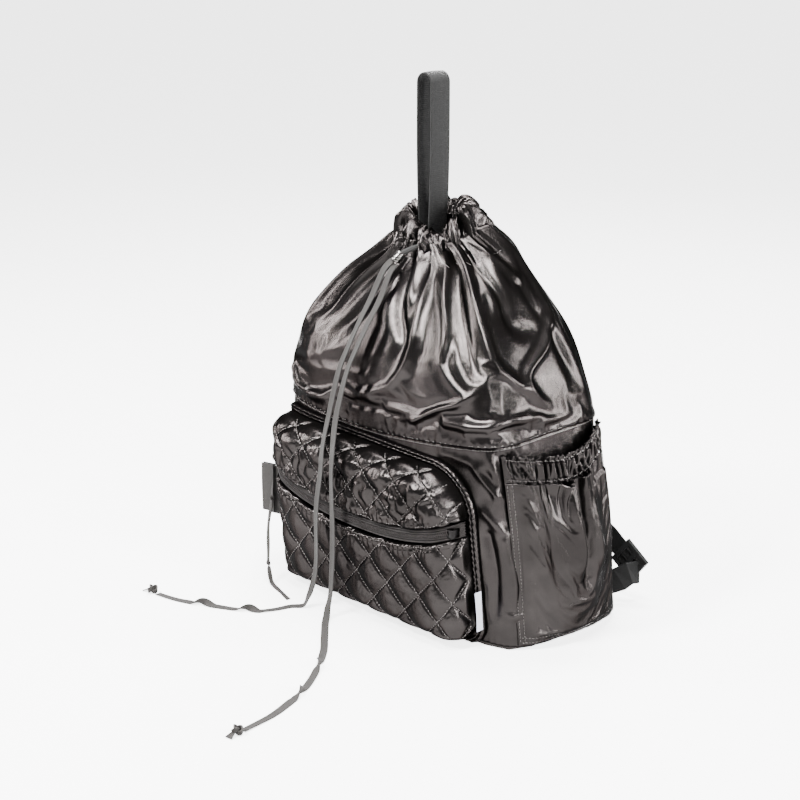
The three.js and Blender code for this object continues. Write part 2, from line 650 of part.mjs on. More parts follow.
// A flat band along a run of points. Its width lies across the path, near the given direction, and its
// corners are rounded by eight-sided sections.
function band(points, across, widthAt, thickness) {
  const rings = points.map((p, i) => {
    const ahead = points[Math.min(i + 1, points.length - 1)].clone().sub(points[Math.max(i - 1, 0)]).normalize();
    const wide = across.clone().addScaledVector(ahead, -across.dot(ahead)).normalize();
    const thick = ahead.clone().cross(wide);
    const [w, t] = [widthAt(i / (points.length - 1)) / 2, thickness / 2];
    const corner = Math.min(t * 0.8, w * 0.4);
    return [
      [w, t - corner], [w - corner, t], [corner - w, t], [-w, t - corner],
      [-w, corner - t], [corner - w, -t], [w - corner, -t], [w, corner - t],
    ].map(([a, b]) => p.clone().addScaledVector(wide, a).addScaledVector(thick, b));
  });
  return loft(rings);
}
function smoothRun(points, count) {
  const curve = new THREE.CatmullRomCurve3(points.map(([x, y, z]) => vector(x, y, z)), false, "centripetal");
  return curve.getSpacedPoints(count);
}

// The sack's whole outer form above the seam, grown, for what is sewn to it.
function upperForm(grow) {
  const rings = [];
  for (let k = 0; k <= 10; k++) rings.push(sackRing(mix(SEAM_ROW, MOUTH_ROW, k / 10), AROUND_UPPER, grow));
  return solid(loft(rings));
}

function makeLoop() {
  const foot = MOUTH_HEIGHT - LOOP_ROOT;
  const top = MOUTH_HEIGHT + LOOP_HEIGHT - WEBBING_THICKNESS / 2;
  const run = [];
  for (const [share, half] of [[0, LOOP_WAIST], [0.12, LOOP_WAIST + 1], [0.3, LOOP_HALF_GAP - 1], [0.6, LOOP_HALF_GAP]]) {
    run.push([-half, mix(foot, top - LOOP_HALF_GAP, share)]);
  }
  for (let i = 0; i <= 8; i++) {
    const angle = Math.PI - (i / 8) * Math.PI;
    run.push([LOOP_HALF_GAP * Math.cos(angle), top - LOOP_HALF_GAP + LOOP_HALF_GAP * Math.sin(angle)]);
  }
  for (let i = 3; i >= 0; i--) run.push([-run[i][0], run[i][1]]);
  const points = run.map(([x, z]) => vector(x - LOOP_LEFT, -LOOP_FORWARD, z));
  const made = (grow) => band(points, vector(0, 1, 0), () => WEBBING + 2 * grow, WEBBING_THICKNESS + 2 * grow);
  piece("handle_loop", made(0), blackWebbing, true);
  return solid(made(SEAM_GAP));
}

function makeStrap(name, side) {
  const reach = (x, y, z) => onBag([side * x, y, z]);
  const pads = smoothRun([
    reach(22, 60, 356), reach(25, 78, 344), reach(31, 96, 316),
    reach(41, 108, 270), reach(50, 112, 210), reach(62, 110, 152), reach(77, 105, 104),
  ], 13);
  const width = (share) => STRAP_WIDTH * (0.6 + 0.4 * smooth(share, 0, 0.4) - 0.28 * smooth(share, 0.8, 1));
  const strap = solid(band(pads, vector(1, 0, 0), width, STRAP_THICKNESS));
  piece(`shoulder_strap_${name}`, geometryOf(strap.subtract(upperForm(SEAM_GAP))), coatedCloth);

  const end = pads[pads.length - 1];
  const ahead = end.clone().sub(pads[pads.length - 2]).normalize();
  const past = end.clone().addScaledVector(ahead, SEAM_GAP);
  const grown = (share) => width(share) + 2 * SEAM_GAP;
  const room = solid(band([...pads, past], vector(1, 0, 0), grown, STRAP_THICKNESS + 2 * SEAM_GAP));
  const tail = smoothRun([
    end.toArray(), reach(100, 106, 78), reach(120, 110, 62), reach(131, 111, 52),
  ], 5);
  const webbing = solid(band(tail, vector(0.3 * side, 0, 1), () => WEBBING, WEBBING_THICKNESS));
  piece(`strap_webbing_${name}`, geometryOf(webbing.subtract(room)), blackWebbing);

  const last = tail[tail.length - 1];
  const onward = last.clone().sub(tail[tail.length - 2]).normalize();
  const wide = vector(0.3 * side, 0, 1).addScaledVector(onward, -vector(0.3 * side, 0, 1).dot(onward)).normalize();
  const half = BUCKLE_LENGTH / 2;
  const turn = new THREE.Matrix4().makeBasis(onward, wide, onward.clone().cross(wide));
  const middle = last.clone().addScaledVector(onward, half + SEAM_GAP);
  const block = (length, width, height, shift) => solid(new THREE.BoxGeometry(length, width, height)
    .translate(shift, 0, 0).applyMatrix4(turn).translate(middle.x, middle.y, middle.z));
  const slot = half - BUCKLE_BAR * 1.5;
  let buckle = block(BUCKLE_LENGTH, WEBBING + 2 * BUCKLE_BAR, BUCKLE_THICKNESS, 0);
  for (const place of [-1, 1]) {
    buckle = buckle.subtract(block(slot, WEBBING + 1, BUCKLE_THICKNESS * 2, (place * (BUCKLE_BAR + slot)) / 2));
  }
  piece(`strap_buckle_${name}`, geometryOf(buckle), blackPlastic);

  const gaps = 2 * SEAM_GAP;
  const taken = block(BUCKLE_LENGTH + gaps, WEBBING + 2 * BUCKLE_BAR + gaps, BUCKLE_THICKNESS + gaps, 0);
  const out = last.clone().addScaledVector(onward, BUCKLE_LENGTH);
  const anchor = smoothRun([
    out.toArray(), reach(151, 103, 33), reach(139, 93, 24), reach(120, 82, 18), reach(102, 70, 15),
  ], 6);
  const root = solid(band(anchor, vector(0.1 * side, 0, 1), () => WEBBING, WEBBING_THICKNESS));
  piece(`strap_anchor_${name}`, geometryOf(root.subtract(body).subtract(taken)), blackWebbing);
}

function makeLabel() {
  const x = POCKET_RIGHT + SEAM_GAP + BINDING_WIDTH / 2;
  const foot = POCKET_BOTTOM + 16;
  const face = envelope(SEAM_GAP + BINDING_HEIGHT + SEAM_GAP);
  const y = frontAt(x, foot);
  const label = solid(new THREE.BoxGeometry(LABEL_THICKNESS, LABEL_WIDTH + BINDING_HEIGHT, LABEL_HEIGHT)
    .translate(x, y - (LABEL_WIDTH + BINDING_HEIGHT) / 2, foot + LABEL_HEIGHT / 2));
  piece("label_tab", geometryOf(label.subtract(face)), labelCloth);
}

// The free cords' hand-chosen routes, as they hang and lie, in the part's own frame and so not leaning.
const LACE_A = [
  [-31, -60, 349.5], [-37, -66, 340.2], [-45.3, -74, 313.9], [-46, -89, 292.2], [-52.5, -98, 267.3],
  [-61, -105, 238.5], [-67, -113, 194.2], [-61, -125, 173.1], [-52.4, -135.5, 159.5], [-50.5, -138, 147.5],
  [-58.2, -138, 103.2], [-58.5, -138.5, 50.5], [-60.5, -142, 25], [-66, -148, 7], [-76, -158, 2.4],
  [-81, -176, 2.3], [-90, -192, 2.3], [-108.3, -203.9, 2.3], [-142.6, -221.9, 2.3], [-170.4, -232.7, 2.3],
  [-193.9, -237.5, 2.3],
].map(onBag);
const LACE_B = [
  [-26, -60, 346.5], [-27.5, -67, 338], [-32.4, -75, 313.3], [-33.2, -90, 291.8], [-39.4, -99, 268],
  [-47.8, -106, 240.4], [-53, -115, 198], [-46.3, -125, 176.3], [-36.3, -135.5, 163.5], [-34.7, -138, 140.6],
  [-33, -138.5, 77.8], [-31.5, -143, 26.8], [-29, -150, 9], [-19, -161, 3.2], [7, -184, 2.6],
  [33, -207.6, 2.6], [65, -245.3, 2.6], [86, -278.2, 2.6], [98.5, -306.7, 2.6], [105.9, -330.4, 2.6],
  [112, -366, 2.6],
].map(onBag);
const LACE_EYELET = onBag([-20, -27, 362]);
const PULL_TAIL = [
  [-167.6, -106, 114], [-167.4, -106.3, 98], [-165, -109.5, 78], [-159, -119, 55], [-151, -126, 33],
  [-145, -131, 18], [-136, -134.5, 7], [-115, -140.4, 2.8], [-92, -148, 2.6],
].map(onBag);

function cord(name, route, steps, sides) {
  const section = new THREE.Shape(Array.from({ length: sides }, (_, i) => {
    const angle = (i / sides) * 2 * Math.PI;
    return new THREE.Vector2(Math.cos(angle), Math.sin(angle)).multiplyScalar(TAPE_ROUND / 2);
  }));
  const path = new THREE.CatmullRomCurve3(route.map(([x, y, z]) => vector(x, y, z)), false, "centripetal");
  const made = new THREE.ExtrudeGeometry(section, { steps, bevelEnabled: false, extrudePath: path, curveSegments: 1 });
  piece(name, geometryOf(solid(made)), greyTape, true);
}
function knotAt(name, route) {
  const [last, before] = [route[route.length - 1], route[route.length - 2]].map(([x, y, z]) => vector(x, y, z));
  const ahead = last.clone().sub(before).setZ(0).normalize();
  const middle = last.clone().addScaledVector(ahead, KNOT_RADIUS + SEAM_GAP).setZ(KNOT_RADIUS * 0.8 + 0.1);
  const ball = new THREE.IcosahedronGeometry(KNOT_RADIUS, 1).scale(1, 1, 0.8).translate(middle.x, middle.y, middle.z);
  piece(name, geometryOf(solid(ball)), greyTape, true);
}

function makeLaces() {
  cord("lace_a", LACE_A, 46, 8);
  cord("lace_b", LACE_B, 52, 8);
  cord("zip_pull_tail", PULL_TAIL, 16, 8);
  knotAt("lace_knot_a", LACE_A);
  knotAt("lace_knot_b", LACE_B);

  const [a, b] = [vector(...LACE_A[0]), vector(...LACE_B[0])];
  const [nextA, nextB] = [vector(...LACE_A[1]), vector(...LACE_B[1])];
  const middle = a.clone().add(b).multiplyScalar(0.5);
  const axis = middle.clone().sub(nextA.add(nextB).multiplyScalar(0.5)).normalize();
  const turn = new THREE.Quaternion().setFromUnitVectors(vector(0, 1, 0), axis);
  const centre = middle.clone().addScaledVector(axis, CORD_STOP_LENGTH / 2 + 2 * SEAM_GAP + 0.3);
  const barrel = (grow) => solid(new THREE.CylinderGeometry(CORD_STOP_RADIUS + grow, CORD_STOP_RADIUS + grow,
    CORD_STOP_LENGTH + 2 * grow, 20).applyQuaternion(turn).translate(centre.x, centre.y, centre.z));
  piece("cord_stop", geometryOf(barrel(0)), nickel, true);

  const exit = middle.addScaledVector(axis, CORD_STOP_LENGTH);
  const eyelet = vector(...LACE_EYELET);
  const stub = band([exit, exit.clone().lerp(eyelet, 0.4).addScaledVector(axis, 2), eyelet], vector(1, 0, 0),
    () => TAPE_ROUND * 1.8, TAPE_ROUND * 0.9);
  const dome = new wasm.Manifold(upperForm(SEAM_GAP).getMesh()).transform(leaning.elements);
  const root = solid(stub).subtract(barrel(SEAM_GAP)).subtract(dome);
  piece("lace_root", geometryOf(root), greyTape, true);
}

function makePull() {
  const frame = onZip(POCKET_LEFT + SLIDER_INSET, ZIP_RECESS);
  const top = frame.point.clone().addScaledVector(frame.out, SLIDER_HEIGHT + SEAM_GAP).applyMatrix4(leaning);
  const out = frame.out.clone().setZ(0).normalize();
  const middle = top.clone().addScaledVector(out, PULL_WIDTH / 2);
  const turn = new THREE.Matrix4().makeBasis(out, vector(-out.y, out.x, 0), vector(0, 0, 1));
  piece("zip_pull_tab", new THREE.BoxGeometry(PULL_WIDTH, PULL_THICKNESS, PULL_LENGTH)
    .translate(0, 0, -PULL_LENGTH / 2 + 3).applyMatrix4(turn).translate(middle.x, middle.y, middle.z), greyTape, true);
}

const loopRoom = makeLoop();
makeSack();
makeCasing();
makePocket();
makePull();
makeLabel();
for (const [name, side] of [["right", 1], ["left", -1]]) {
  makeSidePocket(name, side);
  makeStrap(name, side);
}
makeLaces();

export default bag;
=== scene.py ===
"""A quilted puffer backpack with a drawstring mouth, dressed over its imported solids.

Forms are worked out in millimetres with the bag upright, and lean(...) then tips them left and forward with
their height, as the full bag stands. Every finished mesh is in metres, in the part's own frame.
"""
import logging
import math
from dataclasses import dataclass
from enum import Enum
from typing import Callable, Sequence

import bpy
import numpy as np
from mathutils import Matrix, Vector
from mathutils.bvhtree import BVHTree


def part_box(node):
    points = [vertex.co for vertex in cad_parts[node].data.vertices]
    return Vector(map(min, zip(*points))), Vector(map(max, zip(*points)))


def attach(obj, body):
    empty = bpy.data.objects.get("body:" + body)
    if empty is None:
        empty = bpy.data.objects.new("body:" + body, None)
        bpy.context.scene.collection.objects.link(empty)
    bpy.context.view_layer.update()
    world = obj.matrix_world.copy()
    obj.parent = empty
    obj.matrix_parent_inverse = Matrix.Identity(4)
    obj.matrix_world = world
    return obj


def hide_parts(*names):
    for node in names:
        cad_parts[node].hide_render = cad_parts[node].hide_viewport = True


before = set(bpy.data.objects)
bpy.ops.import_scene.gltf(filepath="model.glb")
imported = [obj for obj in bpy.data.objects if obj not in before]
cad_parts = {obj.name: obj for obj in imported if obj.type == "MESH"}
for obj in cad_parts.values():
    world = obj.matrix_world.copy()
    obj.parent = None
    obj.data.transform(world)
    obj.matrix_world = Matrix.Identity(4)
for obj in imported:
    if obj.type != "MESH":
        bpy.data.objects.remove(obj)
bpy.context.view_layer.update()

LOG = logging.getLogger("backpack")
MM = 0.001
BODY = "root"
# How far it is round the bag's walls, and how far apart the quilting's rows are, in mm
ROUND = 880.0
QUILT_STEP = 15.7
Array = np.ndarray
Place = Callable[[Array, Array], Array]


class Slot(Enum):
    """The material slots that the finishes are given."""

    COATED = "coated_cloth"
    QUILTED = "quilted_cloth"
    ZIP_TAPE = "zip_tape"
    ZIP_COIL = "zip_coil"
    NICKEL = "nickel"
    TAPE = "grey_tape"
    WEBBING = "black_webbing"
    PLASTIC = "black_plastic"
    LABEL = "label_cloth"


# Sums on arrays

def smooth(x: Array, low: float, high: float) -> Array:
    """A soft step from 0 at low to 1 at high."""
    t = np.clip((np.asarray(x, float) - low) / (high - low), 0, 1)
    return t * t * (3 - 2 * t)


def bell(x: Array, width: float) -> Array:
    """A hump of height 1 that fades over width."""
    return np.exp(-np.square(np.asarray(x, float) / width))


def grain(x: Array, y: Array, z: Array | float = 0.0, seed: float = 0.0) -> Array:
    """Smooth noise.

    Args:
        x, y, z: where, in cells of the noise.
        seed: which noise.

    Returns:
        Values from about -1 to 1.
    """
    x, y, z = np.broadcast_arrays(*(np.asarray(c, float) for c in (x, y, z)))
    cell = [np.floor(c) for c in (x, y, z)]
    part = [c - f for c, f in zip((x, y, z), cell)]
    ease = [p * p * p * (p * (6 * p - 15) + 10) for p in part]
    total = np.zeros(x.shape)
    for dx in (0, 1):
        for dy in (0, 1):
            for dz in (0, 1):
                mark = (cell[0] + dx) * 127.1 + (cell[1] + dy) * 311.7 + (cell[2] + dz) * 74.7 + seed * 19.19
                value = np.sin(mark) * 43758.5453
                value = 2 * (value - np.floor(value)) - 1
                weight = np.ones(x.shape)
                for e, d in zip(ease, (dx, dy, dz)):
                    weight = weight * (e if d else 1 - e)
                total += weight * value
    return total


def creases(x: Array, y: Array, seed: float = 0.0) -> Array:
    """Sharp-topped noise, as in crumpled coated cloth, from 0 to 1."""
    one = 1 - np.abs(grain(x, y, 0.0, seed)) * 1.6
    two = 1 - np.abs(grain(x * 2.1 + 5, y * 2.1 - 3, 1.0, seed + 3)) * 1.6
    return np.clip(0.65 * one + 0.35 * two, 0, 1)


def sampled(table: Array, position: Array) -> Array:
    """Rows of a table at positions between its rows, on a smooth curve.

    Args:
        table: one row for each whole position.
        position: where to read it.

    Returns:
        One row for each position.
    """
    last = len(table) - 1
    position = np.asarray(position, float)
    index = np.clip(np.floor(position).astype(int), 0, last - 1)
    t = (position - index)[:, None]
    a, b = table[np.maximum(index - 1, 0)], table[index]
    c, d = table[index + 1], table[np.minimum(index + 2, last)]
    slope_b, slope_c = (c - a) / 2, (d - b) / 2
    t2, t3 = t * t, t * t * t
    return (b * (2 * t3 - 3 * t2 + 1) + slope_b * (t3 - 2 * t2 + t) + c * (3 * t2 - 2 * t3)
            + slope_c * (t3 - t2))


def spaced(points: Sequence[Sequence[float]], count: int) -> Array:
    """Evenly spaced points on a smooth curve through the given ones."""
    table = np.array(points, float)
    fine = sampled(table, np.linspace(0, len(table) - 1, 60 * len(table)))
    run = np.concatenate([[0], np.cumsum(np.linalg.norm(np.diff(fine, axis=0), axis=1))])
    at = np.linspace(0, run[-1], count)
    return np.stack([np.interp(at, run, fine[:, k]) for k in range(fine.shape[1])], axis=1)


def unit(v: Array) -> Array:
    """Vectors of length one."""
    return v / np.maximum(np.linalg.norm(v, axis=-1, keepdims=True), 1e-9)


# Making pieces

def alone(*objects: bpy.types.Object) -> None:
    """Selects just these objects and makes the first active."""
    if bpy.context.object and bpy.context.object.mode != "OBJECT":
        bpy.ops.object.mode_set(mode="OBJECT")
    bpy.ops.object.select_all(action="DESELECT")
    for one in objects:
        one.select_set(True)
    bpy.context.view_layer.objects.active = objects[0]


def apply_modifier(piece: bpy.types.Object, kind: str, **settings: object) -> None:
    """Adds a modifier with these settings and applies it."""
    alone(piece)
    modifier = piece.modifiers.new(kind.title(), kind)
    for key, value in settings.items():
        setattr(modifier, key, value)
    bpy.ops.object.modifier_apply(modifier=modifier.name)


def coordinates(piece: bpy.types.Object) -> Array:
    """A mesh's points as an array, in metres."""
    flat = np.empty(len(piece.data.vertices) * 3)
    piece.data.vertices.foreach_get("co", flat)
    return flat.reshape(-1, 3)


def move_points(piece: bpy.types.Object, points: Array) -> None:
    """Puts a mesh's points at these places, in metres."""
    piece.data.vertices.foreach_set("co", points.ravel())
    piece.data.update()


def point_normals(piece: bpy.types.Object) -> Array:
    """A mesh's point normals as an array."""
    flat = np.empty(len(piece.data.vertices) * 3, np.float32)
    piece.data.vertex_normals.foreach_get("vector", flat)
    return flat.reshape(-1, 3).astype(float)


def wrapped(name: str, columns: int, rows: int, place: Place, cloth: tuple[float, float],
            closed: bool = False, away: Sequence[float] | None = None) -> bpy.types.Object:
    """A grid of cloth laid over a form.

    Args:
        name: the piece's name.
        columns, rows: its faces along u and v.
        place: gives the points, in mm, for u and v from 0 to 1, as an array of rows, columns and 3.
        cloth: the cloth's size along u and v in mm, for the weave's map.
        closed: its first and last columns are sewn together.
        away: a point, in mm, that its faces look away from.

    Returns:
        The piece, one layer thick.
    """
    alone_all()
    bpy.ops.mesh.primitive_grid_add(x_subdivisions=columns, y_subdivisions=rows, size=2)
    piece = bpy.context.object
    piece.name = piece.data.name = name
    start = (coordinates(piece)[:, :2] + 1) / 2
    across, up = np.unique(start[:, 0].round(6)), np.unique(start[:, 1].round(6))
    made = place(across, up)
    i = np.rint(start[:, 0] * (len(across) - 1)).astype(int)
    j = np.rint(start[:, 1] * (len(up) - 1)).astype(int)
    move_points(piece, made[j, i] * MM)
    layer = piece.data.uv_layers.active.data
    flat = np.empty(len(layer) * 2, np.float32)
    layer.foreach_get("uv", flat)
    layer.foreach_set("uv", (flat.reshape(-1, 2) * (np.array(cloth) * MM)).astype(np.float32).ravel())
    if closed:
        alone(piece)
        bpy.ops.object.mode_set(mode="EDIT")
        bpy.ops.mesh.select_all(action="SELECT")
        bpy.ops.mesh.remove_doubles(threshold=2e-6)
        bpy.ops.object.mode_set(mode="OBJECT")
    if away is not None:
        outward = ((coordinates(piece) - np.array(away) * MM) * point_normals(piece)).sum()
        if outward < 0:
            piece.data.flip_normals()
    return piece


def alone_all() -> None:
    """Leaves nothing selected."""
    if bpy.context.object and bpy.context.object.mode != "OBJECT":
        bpy.ops.object.mode_set(mode="OBJECT")
    bpy.ops.object.select_all(action="DESELECT")


def thicken(piece: bpy.types.Object, thickness: float, offset: float = -1.0) -> None:
    """Gives a layer its thickness in mm, inwards unless offset says otherwise."""
    apply_modifier(piece, "SOLIDIFY", thickness=thickness * MM, offset=offset, use_even_offset=False)


def drape(piece: bpy.types.Object, held: Array, frames: int, pressure: float, spare: float, cap: float,
          bending: float = 0.3, gravity: float = 0.0) -> None:
    """Lets a layer of cloth billow and crease between the points where it is held.

    Args:
        piece: the cloth, one layer thick.
        held: how firmly each point is held, from 0 to 1.
        frames: how many frames the cloth moves for.
        pressure: the push from inside.
        spare: the share by which the cloth is larger than the form.
        cap: the furthest that a point may move, in mm.
        bending: how stiff its folds are.
        gravity: the share of gravity that acts on it.
    """
    alone(piece)
    before = coordinates(piece)
    group = piece.vertex_groups.new(name="held")
    for level in np.unique(np.round(held, 1)):
        if level > 0:
            group.add(np.nonzero(np.round(held, 1) == level)[0].tolist(), float(level), "REPLACE")
    modifier = piece.modifiers.new("Cloth", "CLOTH")
    cloth = modifier.settings
    cloth.quality = 5
    cloth.mass = 0.15
    cloth.tension_stiffness = cloth.compression_stiffness = 12
    cloth.shear_stiffness = 6
    cloth.bending_stiffness = bending
    cloth.tension_damping = cloth.compression_damping = 8
    cloth.air_damping = 3
    cloth.use_pressure = True
    cloth.uniform_pressure_force = pressure
    cloth.shrink_min = -spare
    cloth.vertex_group_mass = "held"
    cloth.pin_stiffness = 1.0
    cloth.effector_weights.gravity = gravity
    modifier.collision_settings.use_collision = False
    modifier.point_cache.frame_start, modifier.point_cache.frame_end = 1, frames
    scene = bpy.context.scene
    for frame in range(1, frames + 1):
        scene.frame_set(frame)
    bpy.ops.object.modifier_apply(modifier=modifier.name)
    scene.frame_set(1)
    moved = coordinates(piece) - before
    far = np.linalg.norm(moved, axis=1, keepdims=True)
    move_points(piece, before + moved * np.minimum(1, cap * MM / np.maximum(far, 1e-9)))
    piece.vertex_groups.clear()


def finished(piece: bpy.types.Object, finish: "Finish", *nodes: str) -> bpy.types.Object:
    """Dresses a piece, sets it on the bag's body and lets it stand for its solids."""
    piece.data.materials.clear()
    piece.data.materials.append(finish.material())
    alone(piece)
    bpy.ops.object.shade_smooth()
    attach(piece, BODY)
    if nodes:
        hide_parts(*nodes)
    LOG.info("%s: %d faces", piece.name, len(piece.data.polygons))
    return piece


TREES: dict[str, BVHTree] = {}
# How far a stitch may move to its cloth, how proud it stands on it, in mm, and how alike their ways out are
STITCH_REACH = 14
STITCH_STAND = 0.2
FACING = 0.2


def tree_of(cloth: bpy.types.Object) -> BVHTree:
    """A search tree of a finished cloth, made once."""
    if cloth.name not in TREES:
        TREES[cloth.name] = BVHTree.FromObject(cloth, bpy.context.evaluated_depsgraph_get())
    return TREES[cloth.name]


def stitched(name: str, run: Array, out: Array, finish: "Finish", pitch: float = 3.2, length: float = 2.4,
             thick: float = 0.7, crossed: bool = False,
             on: Sequence[bpy.types.Object] = ()) -> bpy.types.Object:
    """A row of stitches, or of zip teeth, along a run of points.

    Args:
        name: the piece's name.
        run: the points that it follows, in mm.
        out: the way out of the cloth at each point.
        finish: its finish.
        pitch, length, thick: the stitches' spacing, length and thickness in mm.
        crossed: they lie across the run.
        on: the cloths that they are sewn to; each stitch is set down on the nearest one.

    Returns:
        The piece, one mesh of small rounded stitches.
    """
    alone_all()
    bpy.ops.mesh.primitive_uv_sphere_add(segments=6, ring_count=4, radius=0.5)
    one = bpy.context.object
    form = coordinates(one)
    faces = [tuple(f.vertices) for f in one.data.polygons]
    bpy.data.objects.remove(one)
    travelled = np.concatenate([[0], np.cumsum(np.linalg.norm(np.diff(run, axis=0), axis=1))])
    at = np.arange(pitch / 2, travelled[-1], pitch)
    centre = np.stack([np.interp(at, travelled, run[:, k]) for k in range(3)], axis=1)
    normal = unit(np.stack([np.interp(at, travelled, out[:, k]) for k in range(3)], axis=1))
    ahead = np.stack([np.interp(at + 0.4, travelled, run[:, k]) for k in range(3)], axis=1)
    behind = np.stack([np.interp(at - 0.4, travelled, run[:, k]) for k in range(3)], axis=1)
    along = unit(ahead - behind)
    if on:
        trees = [tree_of(cloth) for cloth in on]
        kept = []
        for k, (spot, way) in enumerate(zip(centre, normal)):
            hits = [tree.find_nearest(Vector(spot * MM)) for tree in trees]
            place, out_here, _, far = min(hits, key=lambda hit: hit[3])
            if np.dot(out_here, way) > FACING and far < STITCH_REACH * MM:
                centre[k], normal[k] = np.array(place) / MM + np.array(out_here) * STITCH_STAND, out_here
                kept.append(k)
        centre, normal, along = centre[kept], normal[kept], along[kept]
        along = unit(along - normal * (along * normal).sum(axis=1, keepdims=True))
        at = at[kept]
    side = unit(np.cross(normal, along))
    if crossed:
        along, side = side, along
    points = (centre[:, None] + form[None, :, 2:3] * along[:, None] * length
              + form[None, :, 0:1] * side[:, None] * thick + form[None, :, 1:2] * normal[:, None] * thick)
    shift = len(form)
    mesh = bpy.data.meshes.new(name)
    mesh.from_pydata((points.reshape(-1, 3) * MM).tolist(), [],
                     [tuple(v + k * shift for v in face) for k in range(len(at)) for face in faces])
    piece = bpy.data.objects.new(name, mesh)
    bpy.context.collection.objects.link(piece)
    alone(piece)
    bpy.ops.object.mode_set(mode="EDIT")
    bpy.ops.mesh.select_all(action="SELECT")
    bpy.ops.mesh.normals_make_consistent(inside=False)
    bpy.ops.object.mode_set(mode="OBJECT")
    return finished(piece, finish)


def ribbon(name: str, run: Array, across: Array, width: Array | float, thickness: float, steps_across: int = 8,
           bow: float = 0.0) -> bpy.types.Object:
    """A flat band along a run of points.

    Args:
        name: the piece's name.
        run: its middle line in mm, closely spaced.
        across: the way that its width lies at each point.
        width: its width in mm, one value or one for each point.
        thickness: its thickness in mm.
        steps_across: its faces across.
        bow: how far its middle stands out from its edges, in mm.

    Returns:
        The band, of its full thickness.
    """
    ahead = unit(np.gradient(run, axis=0))
    side = unit(across - ahead * (across * ahead).sum(axis=1, keepdims=True))
    out = np.cross(ahead, side)
    wide = np.broadcast_to(np.asarray(width, float), (len(run),))

    def place(u: Array, v: Array) -> Array:
        """Points across and along the band."""
        shift = (u - 0.5)[None, :, None] * wide[:, None, None] * side[:, None, :]
        arch = bow * (1 - (2 * u - 1) ** 2)[None, :, None] * out[:, None, :]
        return run[:, None, :] + shift + arch

    total = np.linalg.norm(np.diff(run, axis=0), axis=1).sum()
    piece = wrapped(name, steps_across, len(run) - 1, place, (float(wide.mean()), float(total)))
    apply_modifier(piece, "SOLIDIFY", thickness=thickness * MM, offset=0.0, use_even_offset=True)
    apply_modifier(piece, "BEVEL", width=thickness * 0.3 * MM, segments=2, limit_method="ANGLE",
                   angle_limit=1.0)
    return piece


# Finishes

class Nodes:
    """A material's node tree, built up step by step."""

    def __init__(self, name: str) -> None:
        """Starts a material with its shader alone."""
        self.made = bpy.data.materials.new(name)
        self.made.use_nodes = True
        self.tree = self.made.node_tree
        self.shader = self.tree.nodes["Principled BSDF"]

    def add(self, kind: str, values: dict | None = None, **settings: object) -> bpy.types.Node:
        """Adds a node.

        Args:
            kind: its type, without the words ShaderNode.
            values: its inputs by name; a socket is linked and anything else is set.
            settings: its properties.

        Returns:
            The node.
        """
        node = self.tree.nodes.new("ShaderNode" + kind)
        for key, value in settings.items():
            setattr(node, key, value)
        for key, value in (values or {}).items():
            self.put(node.inputs[key], value)
        return node

    def put(self, socket: bpy.types.NodeSocket, value: object) -> None:
        """Links a socket to this one, or sets its value."""
        if isinstance(value, bpy.types.NodeSocket):
            self.tree.links.new(value, socket)
        else:
            socket.default_value = value

    def set(self, **values: object) -> None:
        """Sets the shader's inputs; an underscore stands for a space."""
        for key, value in values.items():
            self.put(self.shader.inputs[key.replace("_", " ")], value)

    def coordinate(self, kind: str, scale: float | tuple[float, float, float]) -> bpy.types.NodeSocket:
        """Object or UV coordinates, times a scale."""
        where = self.add("TexCoord").outputs[kind]
        size = (scale,) * 3 if isinstance(scale, (int, float)) else scale
        return self.add("Mapping", {"Vector": where, "Scale": size}).outputs["Vector"]

    def noise(self, where: bpy.types.NodeSocket, scale: float, detail: float = 3.0,
              rough: float = 0.55, bent: float = 0.0) -> bpy.types.NodeSocket:
        """Cloudy noise from 0 to 1."""
        return self.add("TexNoise", {"Vector": where, "Scale": scale, "Detail": detail, "Roughness": rough,
                                     "Distortion": bent}).outputs["Fac"]

    def ramp(self, factor: bpy.types.NodeSocket, *stops: tuple[float, tuple]) -> bpy.types.NodeSocket:
        """A colour ramp with these stops."""
        node = self.add("ValToRGB", {"Fac": factor})
        spots = node.color_ramp.elements
        while len(spots) < len(stops):
            spots.new(0.5)
        for spot, (place, colour) in zip(spots, stops):
            spot.position, spot.color = place, (*colour, 1)
        return node.outputs["Color"]

    def sum(self, kind: str, a: object, b: object) -> bpy.types.NodeSocket:
        """Two numbers put together."""
        node = self.add("Math", operation=kind)
        self.put(node.inputs[0], a)
        self.put(node.inputs[1], b)
        return node.outputs[0]

    def range(self, value: bpy.types.NodeSocket, low: float, high: float) -> bpy.types.NodeSocket:
        """A value from 0 to 1 spread from low to high."""
        return self.add("MapRange", {"Value": value, "To Min": low, "To Max": high}).outputs["Result"]

    def bump(self, height: bpy.types.NodeSocket, depth: float, strength: float = 1.0,
             under: bpy.types.NodeSocket | None = None) -> bpy.types.NodeSocket:
        """A fine relief, in metres deep, on another one where given."""
        values = {"Height": height, "Distance": depth, "Strength": strength}
        if under is not None:
            values["Normal"] = under
        return self.add("Bump", values).outputs["Normal"]

    def weave(self, pitch: float, bent: float = 0.0) -> bpy.types.NodeSocket:
        """A plain weave on the piece's own map, its threads a pitch apart in metres."""
        where = self.coordinate("UV", 1.0)
        threads = [self.add("TexWave", {"Vector": where, "Scale": 0.314 / pitch, "Distortion": bent},
                            wave_type="BANDS", bands_direction=way).outputs["Fac"] for way in ("X", "Y")]
        return self.sum("MAXIMUM", *threads)


@dataclass(frozen=True)
class Finish:
    """A finish that pieces share; each kind builds its own material once."""

    name: str
    slot: Slot

    def material(self) -> bpy.types.Material:
        """The finish's material, made the first time that it is asked for."""
        return bpy.data.materials.get(self.name) or self.build()

    def build(self) -> bpy.types.Material:
        """Makes the material."""
        raise NotImplementedError


